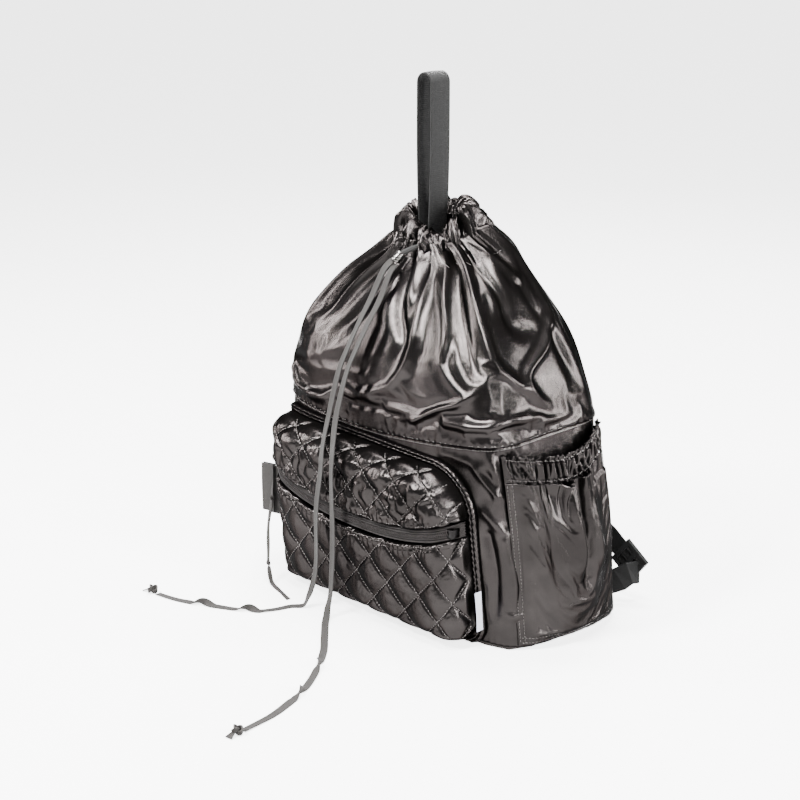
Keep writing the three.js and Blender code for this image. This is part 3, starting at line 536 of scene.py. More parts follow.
@dataclass(frozen=True)
class CoatedNylon(Finish):
    """Dark coated nylon with a liquid metal shine and a fine crinkle."""

    dark: tuple[float, float, float] = (0.0105, 0.0094, 0.0091)
    light: tuple[float, float, float] = (0.0185, 0.0166, 0.0161)
    rough: tuple[float, float] = (0.17, 0.27)
    crinkle: float = 0.00016

    def build(self) -> bpy.types.Material:
        """Cloudy colour and gloss, a crinkle of folded film and a plain weave below it."""
        n = Nodes(self.name)
        here = n.coordinate("Object", 1.0)
        cloud = n.noise(here, 14.0, 4.0, 0.6)
        fine = n.noise(here, 120.0, 3.0, 0.6)
        colour = n.ramp(cloud, (0.34, self.dark), (0.66, self.light))
        streaked = n.coordinate("Object", (60.0, 60.0, 16.0))
        streak = n.noise(streaked, 6.0, 3.0, 0.6)
        folded = n.add("TexVoronoi", {"Vector": n.coordinate("Object", 1.0), "Scale": 95.0, "Randomness": 1.0},
                       feature="F1", distance="EUCLIDEAN").outputs["Distance"]
        rough = n.range(n.sum("ADD", n.sum("MULTIPLY", fine, 0.5), n.sum("MULTIPLY", cloud, 0.5)), *self.rough)
        low = n.bump(n.noise(here, 55.0, 4.0, 0.62, 0.6), self.crinkle * 2.2, 0.55)
        middle = n.bump(n.sum("ADD", folded, streak), self.crinkle, 0.3, low)
        top = n.bump(n.weave(0.00055), 0.00006, 0.35, middle)
        n.set(Base_Color=colour, Roughness=rough, Metallic=0.96, Normal=top,
              Specular_Tint=(0.2, 0.19, 0.19, 1))
        return n.made


@dataclass(frozen=True)
class Woven(Finish):
    """Matt woven band, from ribbon to webbing."""

    dark: tuple[float, float, float] = (0.0008, 0.0008, 0.0008)
    light: tuple[float, float, float] = (0.0034, 0.0033, 0.0032)
    pitch: float = 0.0017
    depth: float = 0.0004
    shine: float = 0.02

    def build(self) -> bpy.types.Material:
        """Threads that show in colour and relief."""
        n = Nodes(self.name)
        here = n.coordinate("Object", 1.0)
        thread = n.weave(self.pitch, 0.4)
        cloud = n.noise(here, 180.0, 3.0, 0.6)
        shade = n.sum("MULTIPLY", thread, n.range(cloud, 0.6, 1.3))
        colour = n.ramp(shade, (0.2, self.dark), (0.95, self.light))
        relief_here = n.bump(thread, self.depth, 0.7, n.bump(cloud, 0.0002, 0.4))
        n.set(Base_Color=colour, Roughness=n.range(cloud, 0.55, 0.8), Normal=relief_here,
              Sheen_Weight=self.shine, Sheen_Roughness=0.45, Specular_IOR_Level=0.08)
        return n.made


@dataclass(frozen=True)
class Metal(Finish):
    """Bright plated metal with fine wear."""

    tint: tuple[float, float, float] = (0.08, 0.076, 0.072)
    rough: tuple[float, float] = (0.14, 0.32)

    def build(self) -> bpy.types.Material:
        """Plate with cloudy gloss and hair scratches."""
        n = Nodes(self.name)
        here = n.coordinate("Object", 1.0)
        scratch = n.noise(n.coordinate("Object", (900.0, 900.0, 90.0)), 2.0, 2.0, 0.5)
        cloud = n.noise(here, 260.0, 3.0, 0.6)
        worn = tuple(c * 0.72 for c in self.tint)
        n.set(Base_Color=n.ramp(cloud, (0.3, worn), (0.6, self.tint)), Metallic=1.0,
              Roughness=n.range(cloud, *self.rough), Normal=n.bump(scratch, 0.00003, 0.3))
        return n.made


@dataclass(frozen=True)
class Moulded(Finish):
    """Moulded plastic with a fine spark grain."""

    tint: tuple[float, float, float] = (0.004, 0.004, 0.004)
    rough: tuple[float, float] = (0.32, 0.5)

    def build(self) -> bpy.types.Material:
        """A grained, slightly cloudy surface."""
        n = Nodes(self.name)
        here = n.coordinate("Object", 1.0)
        spark = n.noise(here, 1400.0, 2.0, 0.6)
        cloud = n.noise(here, 90.0, 3.0, 0.6)
        lit = tuple(c * 1.9 for c in self.tint)
        n.set(Base_Color=n.ramp(cloud, (0.3, self.tint), (0.75, lit)), Roughness=n.range(spark, *self.rough),
              Normal=n.bump(spark, 0.00005, 0.4), Specular_IOR_Level=0.06)
        return n.made


SACK_CLOTH = CoatedNylon("coated nylon", Slot.COATED)
QUILT_CLOTH = CoatedNylon("quilted nylon", Slot.QUILTED, (0.0115, 0.0103, 0.01), (0.0195, 0.0175, 0.017),
                          (0.16, 0.26), 0.00014)
WEBBING = Woven("black webbing", Slot.WEBBING)
TAPE = Woven("grey ribbon", Slot.TAPE, (0.0035, 0.0032, 0.003), (0.0165, 0.0152, 0.0142), 0.0009, 0.0002, 0.03)
ZIP_CLOTH = Woven("zip tape", Slot.ZIP_TAPE, (0.0022, 0.0019, 0.0018), (0.0125, 0.0108, 0.0104), 0.0008,
                  0.00015, 0.0)
LABEL_CLOTH = Woven("label satin", Slot.LABEL, (0.22, 0.225, 0.27), (0.32, 0.325, 0.37), 0.0005, 0.00006, 0.1)
THREAD = CoatedNylon("sewing thread", Slot.COATED, (0.035, 0.032, 0.031), (0.07, 0.065, 0.063), (0.3, 0.45),
                     0.0001)
STOP_METAL = Metal("dark plate", Slot.NICKEL, (0.008, 0.0075, 0.0075))
COIL = Moulded("nylon coil", Slot.ZIP_COIL, (0.0085, 0.0074, 0.0072))
NICKEL = Metal("nickel plate", Slot.NICKEL)
PLASTIC = Moulded("black plastic", Slot.PLASTIC)


# The bag's forms, with the same names and sizes as its solids'

@dataclass(frozen=True)
class BagForm:
    """The sack's outline, which everything else is sewn to."""

    width: float = 318.0
    depth: float = 168.0
    height: float = 378.0
    lean_left: float = 32.0
    lean_forward: float = 16.0
    pleats: int = 14
    pleat_depth: float = 4.2
    # rise, wide, deep, aside, behind, tip, square
    rows: tuple = (
        (0.0, 0.98, 0.975, 0, 0, 0, 7.5), (0.02, 0.995, 0.99, 0, 0, 0, 7.5), (0.1, 1.0, 1.0, 0, 0, 0, 7.0),
        (0.32, 1.01, 1.015, 0, 0, 0, 6.2), (0.555, 0.985, 1.0, 0, 0, 0, 5.6),
        (0.66, 0.935, 0.965, 0, 0.02, 0, 5.0),
        (0.762, 0.825, 0.87, 0.01, 0.06, 0.005, 4.4), (0.873, 0.645, 0.665, 0.025, 0.13, 0.012, 3.8),
        (0.948, 0.435, 0.49, 0.045, 0.19, 0.022, 3.2), (1.0, 0.275, 0.335, 0.04, 0.125, 0.03, 2.4),
    )

    def lean(self, points: Array) -> Array:
        """Points of the upright bag, tipped as it stands."""
        shift = np.stack([points[..., 2] * -self.lean_left, points[..., 2] * -self.lean_forward,
                          np.zeros(points.shape[:-1])], axis=-1) / self.height
        return points + shift

    def ring(self, position: float, turns: Array, grow: float = 0.0) -> tuple[Array, Array]:
        """One outline of the sack.

        Args:
            position: its place between the table's rows.
            turns: shares of the way round, from the middle of the back by way of the left.
            grow: how far outside the sack it runs, in mm.

        Returns:
            The points, and the way inwards at each.
        """
        _, wide, deep, aside, behind, tip, square = sampled(np.array(self.rows, float), [position])[0]
        rise = sampled(np.array(self.rows, float), [position])[0][0]
        half_x, half_y = wide * self.width / 2 + grow, deep * self.depth / 2 + grow
        angle = math.pi / 2 + np.linspace(0, 2 * math.pi, 1441)
        c, s = np.cos(angle), np.sin(angle)
        reach = (np.abs(c / half_x) ** square + np.abs(s / half_y) ** square) ** (-1 / square)
        x = aside * self.width / 2 + c * reach
        y = behind * self.depth / 2 + s * reach
        z = rise * self.height + tip * self.height * s * reach / half_y
        run = np.concatenate([[0], np.cumsum(np.hypot(np.diff(x), np.diff(y)))])
        at = np.mod(turns, 1.0) * run[-1]
        at[turns >= 1.0] = run[-1]
        points = np.stack([np.interp(at, run, line) for line in (x, y, z)], axis=1)
        ahead = np.stack([np.interp(np.mod(at + 1.0, run[-1]), run, line) for line in (x, y)], axis=1)
        behind_it = np.stack([np.interp(np.mod(at - 1.0, run[-1]), run, line) for line in (x, y)], axis=1)
        along = ahead - behind_it
        return points, unit(np.stack([-along[:, 1], along[:, 0], np.zeros(len(along))], axis=1))

    def grid(self, positions: Array, turns: Array, grow: float = 0.0) -> tuple[Array, Array]:
        """Outlines one above the other, as arrays of rows, columns and 3."""
        made = [self.ring(p, turns, grow) for p in positions]
        return np.stack([m[0] for m in made]), np.stack([m[1] for m in made])

    def position_at(self, rise: Array) -> Array:
        """The position between the table's rows where the sack has this rise."""
        line = np.linspace(0, len(self.rows) - 1, 1200)
        return np.interp(rise, sampled(np.array(self.rows, float), line)[:, 0], line)

    def front(self, x: Array, z: Array) -> Array:
        """The y of the sack's front face."""
        line = np.linspace(0, len(self.rows) - 1, 1200)
        table = sampled(np.array(self.rows, float), line)
        rise = np.asarray(z, float) / self.height
        wide, deep, square = (np.interp(rise, table[:, 0], table[:, k]) for k in (1, 2, 6))
        share = np.minimum(np.abs(x) / (wide * self.width / 2), 0.995)
        return -(deep * self.depth / 2) * (1 - share ** square) ** (1 / square)


BAG = BagForm()


@dataclass(frozen=True)
class Fold:
    """One fold of the sack's cloth, followed from point to point.

    path holds (turn, rise) pairs; lift is how far it stands out in mm, or sinks where negative; spread is its
    half-width in mm; step is how far the cloth drops on its right-hand side, in mm.
    """

    path: tuple
    lift: float
    spread: float
    step: float = 0.0


def fold_relief(folds: Sequence[Fold], turns: Array, around: Array, rise: Array) -> Array:
    """How far folds move a cloth out.

    Args:
        folds: the folds, in turns and rises.
        turns: the columns' shares of the way round.
        around: how far it is round each row, in mm.
        rise: the rows' rises.

    Returns:
        An array of rows and columns, in mm.
    """
    z = rise * BAG.height
    total = np.zeros((len(rise), len(turns)))
    for fold in folds:
        line = spaced(fold.path, 16)
        near = np.full(total.shape, 1e9)
        signed, fade = np.zeros(total.shape), np.zeros(total.shape)
        for k in range(len(line) - 1):
            (turn, height), (turn_on, height_on) = line[k], line[k + 1]
            dx = (np.mod(turns - turn + 0.5, 1) - 0.5)[None, :] * around[:, None]
            dz = (z - height * BAG.height)[:, None] + 0 * dx
            way_x = (turn_on - turn) * around[:, None] + 0 * dx
            way_z = (height_on - height) * BAG.height
            size = way_x ** 2 + way_z ** 2
            t = np.clip((dx * way_x + dz * way_z) / size, 0, 1)
            off_x, off_z = dx - t * way_x, dz - t * way_z
            distance = np.hypot(off_x, off_z)
            nearer = distance < near
            near = np.where(nearer, distance, near)
            down = -1.0 if way_z > 0 else 1.0
            across = down * (off_z * way_x - off_x * way_z) / np.sqrt(size)
            signed = np.where(nearer, across, signed)
            share = (k + t) / (len(line) - 1)
            fade = np.where(nearer, smooth(1.04 - share, 0.0, 0.45), fade)
        narrow = fold.spread * np.clip(around / 860 * 1.35, 0.35, 1)[:, None]
        edge = -fold.step * smooth(signed / narrow, -0.5, 0.6) * bell(near, narrow * 2.2)
        total += (fold.lift * bell(near, narrow) + edge) * fade
    return total


@dataclass
class Sack:
    """The soft bag: its lower walls, its folded upper part and the gathered mouth."""

    mouth_row: float = 9.0
    cloth: float = 1.6
    casing_rise: float = 12.0
    casing_reach: float = 18.0
    # in, up
    casing: tuple = ((-0.2, -0.75), (-0.05, 0.0), (0.22, 0.7), (0.6, 1.0), (0.86, 0.7), (1.0, 0.0))
    folds: tuple = (
        Fold(((0.613, 0.99), (0.614, 0.873), (0.619, 0.79), (0.611, 0.721), (0.636, 0.66)), 2.5, 6, 5),
        Fold(((0.629, 0.97), (0.64, 0.836), (0.649, 0.751), (0.656, 0.68)), -9, 9),
        Fold(((0.666, 0.99), (0.672, 0.878), (0.679, 0.796), (0.689, 0.716), (0.731, 0.637), (0.753, 0.59)),
             6, 7, 4),
        Fold(((0.718, 0.99), (0.753, 0.932), (0.782, 0.878), (0.788, 0.819), (0.791, 0.779)), 5, 7, 2),
        Fold(((0.791, 0.779), (0.763, 0.736), (0.725, 0.691), (0.728, 0.637), (0.756, 0.596)), 4.5, 5, -2),
        Fold(((0.686, 0.96), (0.718, 0.868), (0.721, 0.807), (0.741, 0.779), (0.785, 0.773)), -5.5, 6),
        Fold(((0.579, 0.97), (0.565, 0.836), (0.56, 0.767), (0.548, 0.701), (0.517, 0.637), (0.461, 0.596)),
             4, 8, 3),
        Fold(((0.536, 0.96), (0.54, 0.873), (0.545, 0.819)), 5.5, 9),
        Fold(((0.495, 0.95), (0.518, 0.825), (0.54, 0.76), (0.52, 0.69)), -6.5, 8),
        Fold(((0.42, 0.99), (0.399, 0.868), (0.392, 0.796), (0.37, 0.746)), 4, 6, 3),
        Fold(((0.474, 0.97), (0.451, 0.853), (0.433, 0.779), (0.399, 0.721)), -5, 8),
        Fold(((0.348, 0.6), (0.369, 0.563), (0.40, 0.565), (0.435, 0.616)), 4, 6, -2),
        Fold(((0.562, 0.571), (0.599, 0.607), (0.632, 0.629), (0.663, 0.67)), 3.5, 5, 4),
        Fold(((0.61, 0.585), (0.659, 0.578), (0.689, 0.59), (0.738, 0.578)), 3.5, 6),
        Fold(((0.779, 0.873), (0.785, 0.807), (0.794, 0.691), (0.804, 0.607)), -4, 8),
        Fold(((0.86, 0.99), (0.865, 0.85), (0.84, 0.72), (0.83, 0.62)), 5, 8, 3),
        Fold(((0.92, 0.99), (0.93, 0.82), (0.92, 0.7)), -7, 9),
        Fold(((0.975, 0.99), (0.965, 0.84), (0.985, 0.66)), 5, 9, 3),
        Fold(((0.04, 0.99), (0.03, 0.84), (0.045, 0.7)), -6, 9),
        Fold(((0.10, 0.99), (0.105, 0.84), (0.09, 0.64)), 5, 9, -3),
        Fold(((0.16, 0.99), (0.165, 0.82), (0.18, 0.68)), -6, 9),
        Fold(((0.23, 0.99), (0.22, 0.84), (0.235, 0.62)), 6, 9, 3),
        Fold(((0.29, 0.99), (0.3, 0.84), (0.29, 0.7)), -6, 8),
        Fold(((0.345, 0.99), (0.34, 0.84), (0.33, 0.66)), 5, 8, -3),
    )
    low_folds: tuple = (
        Fold(((0.663, 0.53), (0.669, 0.42), (0.66, 0.3)), 4.5, 6, 3),
        Fold(((0.686, 0.5), (0.683, 0.38), (0.686, 0.26)), -1.5, 6),
        Fold(((0.652, 0.3), (0.657, 0.2), (0.652, 0.06)), -4.5, 5),
        Fold(((0.672, 0.29), (0.677, 0.16), (0.669, 0.05)), 4, 6, 2),
        Fold(((0.645, 0.47), (0.672, 0.40), (0.69, 0.39)), 3, 4, 2),
        Fold(((0.65, 0.36), (0.673, 0.31), (0.69, 0.33)), 2.5, 4, -1),
        Fold(((0.70, 0.12), (0.68, 0.09), (0.655, 0.1)), 2.5, 5),
        Fold(((0.60, 0.505), (0.64, 0.485), (0.675, 0.46)), 2.2, 5),
        Fold(((0.04, 0.54), (0.03, 0.36), (0.05, 0.2)), -3, 9),
        Fold(((0.95, 0.5), (0.965, 0.34), (0.95, 0.15)), 3, 10, 1.5),
        Fold(((0.13, 0.5), (0.115, 0.32), (0.13, 0.12)), 3, 9, -1.5),
    )

    def around(self, positions: Array) -> Array:
        """How far it is round the sack at each position, in mm."""
        return np.array([np.linalg.norm(np.diff(BAG.ring(p, np.linspace(0, 1, 121))[0], axis=0), axis=1).sum()
                         for p in positions])

    def laid(self, heights: Array, turns: Array) -> tuple[Array, Array]:
        """The sack's surface at heights that vary from column to column.

        Args:
            heights: rows and columns of heights in mm.
            turns: the columns' shares of the way round.

        Returns:
            The points and the ways inwards, as rows, columns and 3.
        """
        line = np.linspace(heights.min(), heights.max(), 220)
        tables = BAG.grid(BAG.position_at(line / BAG.height), turns)
        where = np.clip((heights - line[0]) / (line[1] - line[0]), 0, len(line) - 1.001)
        low, column = np.floor(where).astype(int), np.arange(len(turns))[None, :]
        part = (where - low)[..., None]
        points, inward = (table[low, column] * (1 - part) + table[low + 1, column] * part for table in tables)
        return points, inward

    def pleats(self, turns: Array, rise: Array) -> Array:
        """The small gathers that run down from the mouth, in mm outwards."""
        near = smooth(rise, 0.80, 1.0)[:, None]
        wander = 0.35 * grain(turns[None, :] * 9, rise[:, None] * 5, 0, 11)
        wave = np.cos(2 * np.pi * (BAG.pleats * turns[None, :] + wander))
        fine = np.cos(2 * np.pi * (2.7 * BAG.pleats * turns[None, :] + 2.2 * wander + 0.3))
        return -BAG.pleat_depth * 0.75 * near * wave - 1.1 * smooth(rise, 0.9, 1.0)[:, None] * fine

    def seam_height(self, turns: Array) -> Array:
        """The stitched seam's height, which dips across the front."""
        return 205.5 - 21 * bell(turns - 0.47, 0.18)

    def build_lower(self) -> bpy.types.Object:
        """The lower walls, slightly slack, with puckers below the seam."""
        foot = 3.3

        def place(u: Array, v: Array) -> Array:
            """Outlines from the base to the seam."""
            seam = self.seam_height(u)[None, :]
            z = foot + (seam + 0.8 - foot) * v[:, None]
            points, inward = self.laid(z, u)
            s = u[None, :] * ROUND
            hung = fold_relief(self.low_folds, u, np.full(len(v), ROUND), z.mean(axis=1) / BAG.height)
            bent = s / 24 + 0.3 * grain(s / 30, z / 30)
            slack = 1.1 * grain(s / 46, z / 60, 0, 2) + 0.9 * creases(bent, z / 40, 4)
            slack = (slack + hung) * smooth(z, 0, 30) * (1 - smooth(z, seam - 14, seam)) - 1.1
            pucker = 0.4 * np.cos(2 * np.pi * s / 8.5 + 4 * grain(s / 14, z / 9, 0, 5)) * bell(z - seam, 7)
            pucker = pucker + 0.5 * np.cos(2 * np.pi * s / 7.0) * bell(z - foot, 6)
            tucked = -1.3 * smooth(z, seam - 1.6, seam)
            return BAG.lean(points - inward * (slack + pucker + tucked)[..., None])

        piece = wrapped("lower_cloth", 400, 92, place, (ROUND, 207), True, (0, 0, 100))
        thicken(piece, self.cloth)
        return finished(piece, SACK_CLOTH, "lower_body")

    def build_upper(self) -> bpy.types.Object:
        """The upper part: sculpted folds, which the cloth then settles from."""
        def place(u: Array, v: Array) -> Array:
            """Outlines from the seam to the mouth."""
            low = self.seam_height(u)[None, :]
            z = low + (BAG.height - low) * v[:, None]
            points, inward = self.laid(z, u)
            rise = z.mean(axis=1) / BAG.height
            away = fold_relief(self.folds, u, self.around(BAG.position_at(rise)), rise)
            above = z - low
            calmer = (1 - 0.45 * smooth(rise, 0.92, 1))[:, None]
            away = away * smooth(above, 0, 20) * calmer + self.pleats(u, rise)
            s = u[None, :] * 870
            wave = 0.4 * np.cos(2 * np.pi * s / 8.5 + 4 * grain(s / 14, above / 9, 0, 5)) * bell(above, 7)
            away = away + wave + 0.8 * bell(above - 3, 4)
            away = away + 1.6 * creases(s / 30, above / 26, 9) * bell(above - 16, 13)
            away = away + self.mouth_swell(u)[None, :] * smooth(rise, 0.88, 1)[:, None]
            return BAG.lean(points - inward * away[..., None])

        piece = wrapped("upper_cloth", 440, 108, place, (ROUND, 190), True, (-20, -10, 290))
        place_z = coordinates(piece)[:, 2] / MM
        held = np.maximum(1 - smooth(place_z, 186, 212), smooth(place_z, BAG.height - 22, BAG.height - 8))
        held = np.clip(np.maximum(held, 0.12), 0, 1)
        drape(piece, held, 10, 0.6, 0.006, 5.0, 7.0, 0.05)
        thicken(piece, self.cloth)
        return finished(piece, SACK_CLOTH, "upper_sack")

    def mouth_swell(self, turns: Array) -> Array:
        """How far the cloth stands out near the mouth: at the back right, where its panel is stiff."""
        return 10 * bell(turns - 0.85, 0.07) + 4 * bell(turns - 0.40, 0.05)

    def build_casing(self) -> bpy.types.Object:
        """The puckered roll of cloth that stands up round the mouth."""
        table = np.array(self.casing, float)

        def place(u: Array, v: Array) -> Array:
            """From the mouth ring up, over and in."""
            rows = sampled(table, v * (len(table) - 1))
            made = []
            for share, (inwards, up) in zip(v, rows):
                points, inward = BAG.ring(self.mouth_row, u, -inwards * self.casing_reach)
                wander = 0.9 * grain(u * 14, share * 1.5, 0, 21)
                tall = 1 + 0.7 * bell(u - 0.40, 0.06) + 0.8 * bell(u - 0.76, 0.07) - 0.5 * bell(u - 0.605, 0.05)
                wave = np.cos(2 * np.pi * (BAG.pleats * u + 0.4 * wander))
                fine = np.cos(2 * np.pi * (3.1 * BAG.pleats * u + 1.8 * wander + 0.15))
                crumple = grain(u * 44, share * 3, 0, 23) + 0.5 * grain(u * 110, share * 6, 0, 25)
                calm = 1 - 0.75 * bell(u - 0.605, 0.04)
                out = -BAG.pleat_depth * wave * 0.9 - 1.6 * fine + 3.2 * crumple
                out = out * (1 - 0.4 * max(inwards, 0)) * calm
                swell = self.mouth_swell(u) * (1 - smooth(share, 0.3, 0.9))
                points = points - inward * (out + swell)[:, None]
                lift = tall if up > 0 else 1.0
                uneven = 1 - 0.2 * wave + 0.3 * crumple + 0.1 * fine
                points[:, 2] += 0.3 + up * self.casing_rise * lift * uneven
                made.append(points)
            return BAG.lean(np.stack(made))

        piece = wrapped("mouth_gather", 560, 40, place, (240, 60), True, (-28, -5, 372))
        thicken(piece, 1.3)
        return finished(piece, SACK_CLOTH, "mouth_casing")

    def build(self) -> None:
        """Builds the soft bag."""
        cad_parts["base_panel"].data.materials.clear()
        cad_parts["base_panel"].data.materials.append(SACK_CLOTH.material())
        lower, upper = self.build_lower(), self.build_upper()
        self.build_casing()
        turns = np.linspace(0, 1, 700)
        sewn = self.seam_height(turns)
        for name, shift in (("seam_stitches_low", -2.5), ("seam_stitches_high", 1.6)):
            rows = [BAG.ring(float(BAG.position_at((h + shift) / BAG.height)), np.array([t]))
                    for t, h in zip(turns, sewn)]
            points, inward = (np.concatenate([row[k] for row in rows]) for k in (0, 1))
            stitched(name, BAG.lean(points), -inward, THREAD, thick=0.9, on=(lower, upper))
        points, inward = BAG.ring(self.mouth_row - 1.0, turns)
        stitched("casing_stitches", BAG.lean(points), -inward, THREAD, on=(upper,))


@dataclass
class FrontPocket:
    """The quilted pocket, its binding, zip, pull and label."""

    left: float = -148.0
    right: float = 121.0
    bottom: float = 4.0
    top: float = 174.0
    tilt: float = 4.0
    bulge: float = 36.0
    shoulder: float = 30.0
    puff: float = 3.4
    diamond_width: float = 45.0
    diamond_height: float = 44.0
    corner_top_right: float = 42.0
    corner_top_left: float = 15.0
    corner_bottom: float = 20.0
    sag: float = 11.0
    zip_end: float = 122.0
    zip_sag: float = 23.0
    zip_half: float = 7.5
    recess: float = 3.5
    binding_width: float = 7.0
    binding_height: float = 5.5
    seam_gap: float = 0.3

    @property
    def middle(self) -> float:
        """The pocket's middle along x."""
        return (self.left + self.right) / 2

    @property
    def half(self) -> float:
        """Half its width."""
        return (self.right - self.left) / 2

    @property
    def centre(self) -> float:
        """Its middle height."""
        return (self.top + self.bottom) / 2

    @property
    def half_height(self) -> float:
        """Half its height."""
        return (self.top - self.bottom) / 2

    def tilted(self, x: Array, z: Array) -> Array:
        """Heights on the pocket, whose upper edge drops to the right."""
        return z - self.tilt * (x - self.middle) * z / (self.half * self.top)

    def corner(self, x: Array, z: Array) -> Array:
        """The radius of the nearest corner."""
        upper = np.where(x > self.middle, self.corner_top_right, self.corner_top_left)
        return np.where(z < self.centre, self.corner_bottom, upper)

    def rim(self, x: Array, z: Array) -> Array:
        """How far inside the pocket's outline a place lies."""
        corner = self.corner(x, z)
        qx = np.abs(x - self.middle) - (self.half - corner)
        qz = np.abs(z - self.centre) - (self.half_height - corner)
        return corner - np.minimum(np.maximum(qx, qz), 0) - np.hypot(np.maximum(qx, 0), np.maximum(qz, 0))

    def sagged(self, z: Array) -> Array:
        """The pillow bulges lower down at its foot, as if the height there were a little more."""
        low = z - self.bottom
        return z + self.sag * smooth(low, 0, 14) * (1 - smooth(low, 25, 85))

    def pillow(self, distance: Array, depth: float = 0.0) -> Array:
        """The pillow's rise off the sack, this far from its rim."""
        share = np.clip((distance - depth) / self.shoulder, 0, 1)
        return self.bulge * (1 - (1 - share) ** 3) ** 0.42 - depth

    def unrolled(self, x: Array, z: Array) -> tuple[Array, Array]:
        """Places measured along the pillow's face, over its shoulders."""
        side_gap = np.maximum(self.half - np.abs(x - self.middle), 0)
        far_x = x + np.sign(x - self.middle) * 0.9 * (self.bulge - self.pillow(side_gap))
        return far_x, z + 0.7 * (self.bulge - self.pillow(np.maximum(self.top - z, 0)))

    def diagonals(self, x: Array, z: Array) -> tuple[Array, Array]:
        """How far a place is from the stitched diagonals of either way, in shares of their spacing."""
        x, z = self.unrolled(x, z)
        u = (x - self.middle) / (self.diamond_width / 2)
        v = (z - self.bottom) / (self.diamond_height / 2)
        wobble = 0.05 * grain(x / 30, z / 30, 0, 31)
        one, two = np.mod(u + v + wobble + 1, 2) - 1, np.mod(u - v + wobble + 1, 2) - 1
        return np.abs(one), np.abs(two)

    def zip_height(self, x: Array) -> Array:
        """The zip's curve."""
        share = np.minimum(np.abs(x - self.middle) / self.half, 1.1)
        return self.zip_end - self.zip_sag * (1 - share ** 2.3)

    def rounded(self, x: Array, z: Array) -> tuple[Array, Array]:
        """Places of a square-cornered pocket, drawn in to its round corners."""
        corner = self.corner(x, z)
        side_x, side_z = np.sign(x - self.middle), np.sign(z - self.centre)
        s = np.clip((np.abs(x - self.middle) - (self.half - corner)) / corner, 0, 1)
        t = np.clip((np.abs(z - self.centre) - (self.half_height - corner)) / corner, 0, 1)
        both = (s > 0) & (t > 0)
        new_x = self.middle + side_x * (self.half - corner + corner * s * np.sqrt(1 - t * t / 2))
        new_z = self.centre + side_z * (self.half_height - corner + corner * t * np.sqrt(1 - s * s / 2))
        return np.where(both, new_x, x), np.where(both, new_z, z)

    def face(self, x: Array, z: Array, depth: float = 0.0, extra: Array | float = 0.0) -> Array:
        """Points on the pillow's face, upright, a depth below it and raised by extra."""
        height = self.pillow(self.rim(x, self.sagged(z)), depth) + extra
        real = self.tilted(x, z)
        return np.stack([x, BAG.front(x, np.maximum(real, 0)) - height, real], axis=-1)

    def share_from_rim(self, count: Array, length: float, rims: tuple[bool, bool]) -> Array:
        """Distances along a length with more of them on the steep shoulders at its rims.

        Args:
            count: shares from 0 to 1.
            length: the length in mm.
            rims: whether its start and its end are rims.

        Returns:
            The distances in mm.
        """
        line = np.linspace(0, length, 4000)
        weight = np.ones(line.shape)
        slope = np.gradient(self.pillow(line), line)
        steep = np.clip(np.sqrt(1 + slope ** 2), 1, 9)
        if rims[0]:
            weight = weight * steep
        if rims[1]:
            weight = weight * steep[::-1]
        run = np.concatenate([[0], np.cumsum((weight[1:] + weight[:-1]) / 2)])
        return np.interp(count, run / run[-1], line)

    def panel(self, name: str, upper: bool, columns: int, rows: int, node: str) -> bpy.types.Object:
        """A quilted panel of the pocket, above or below the zip."""
        edge = self.zip_half + 0.2

        def square(u: Array, v: Array) -> tuple[Array, Array]:
            """Places in x and z, the corners rounded."""
            x = self.left + self.share_from_rim(u, 2 * self.half, (True, True))[None, :] + 0 * v[:, None]
            lip = self.zip_height(x) + (edge if upper else -edge)
            far = self.top if upper else self.bottom
            span = abs(self.top - self.zip_end) if upper else abs(self.zip_end - self.bottom)
            share = self.share_from_rim(v, span, (not upper, upper))[:, None] / span
            z = lip + (far - lip) * share if upper else far + (lip - far) * share
            return self.rounded(x, z)

        def place(u: Array, v: Array) -> Array:
            """Padded diamonds that the stitched diagonals draw in."""
            x, z = square(u, v)
            rim = self.rim(x, self.sagged(z))
            one, two = self.diagonals(x, z)
            pad = np.abs(np.sin(np.pi * one / 2) * np.sin(np.pi * two / 2)) ** 0.55
            lip = np.abs(z - self.zip_height(x)) - edge
            sewn = bell(np.minimum(one, two) * QUILT_STEP, 1.5)
            extra = (self.puff * (pad - 0.35) - 0.9 * sewn) * smooth(rim, 0, 1.4)
            wrinkle = creases(x / 13 + 0.5 * grain(x / 20, z / 20, 0, 35), z / 15, 33) * pad ** 0.5
            wrinkle = (0.5 if upper else 0.15) * wrinkle
            extra = extra + wrinkle * smooth(rim, 2, 12)
            if upper:
                crush = bell(x - 62, 30) * bell(z - 128, 18)
                extra = extra + 2.4 * crush * grain(x / 9, z / 7, 0, 37)
                zigzag = np.cos(2 * np.pi * (x / 16 + 0.4 * grain(x / 24, z / 12, 0, 43)))
                extra = extra + 1.1 * zigzag * bell(lip - 26, 12) * smooth(rim, 4, 16)
            fall = np.clip(1 - lip / 4.5, 0, 1)
            extra = extra - 3.4 * (1 - np.sqrt(1 - np.minimum(fall, 1) ** 2)) - 0.9 * bell(lip - 5.2, 1.0)
            pucker = 0.5 * np.cos(2 * np.pi * x / 6.5 + grain(x / 9, z / 9, 0, 39)) * bell(lip - 7, 6)
            points = self.face(x, z, 0.0, extra + pucker)
            side_gap = self.half - np.abs(x - self.middle)
            points[..., 0] += np.sign(x - self.middle) * extra * (1 - smooth(side_gap, 1, 9))
            points[..., 2] += 0.7 * extra * (1 - smooth(self.top - z, 1, 9))
            return BAG.lean(points)

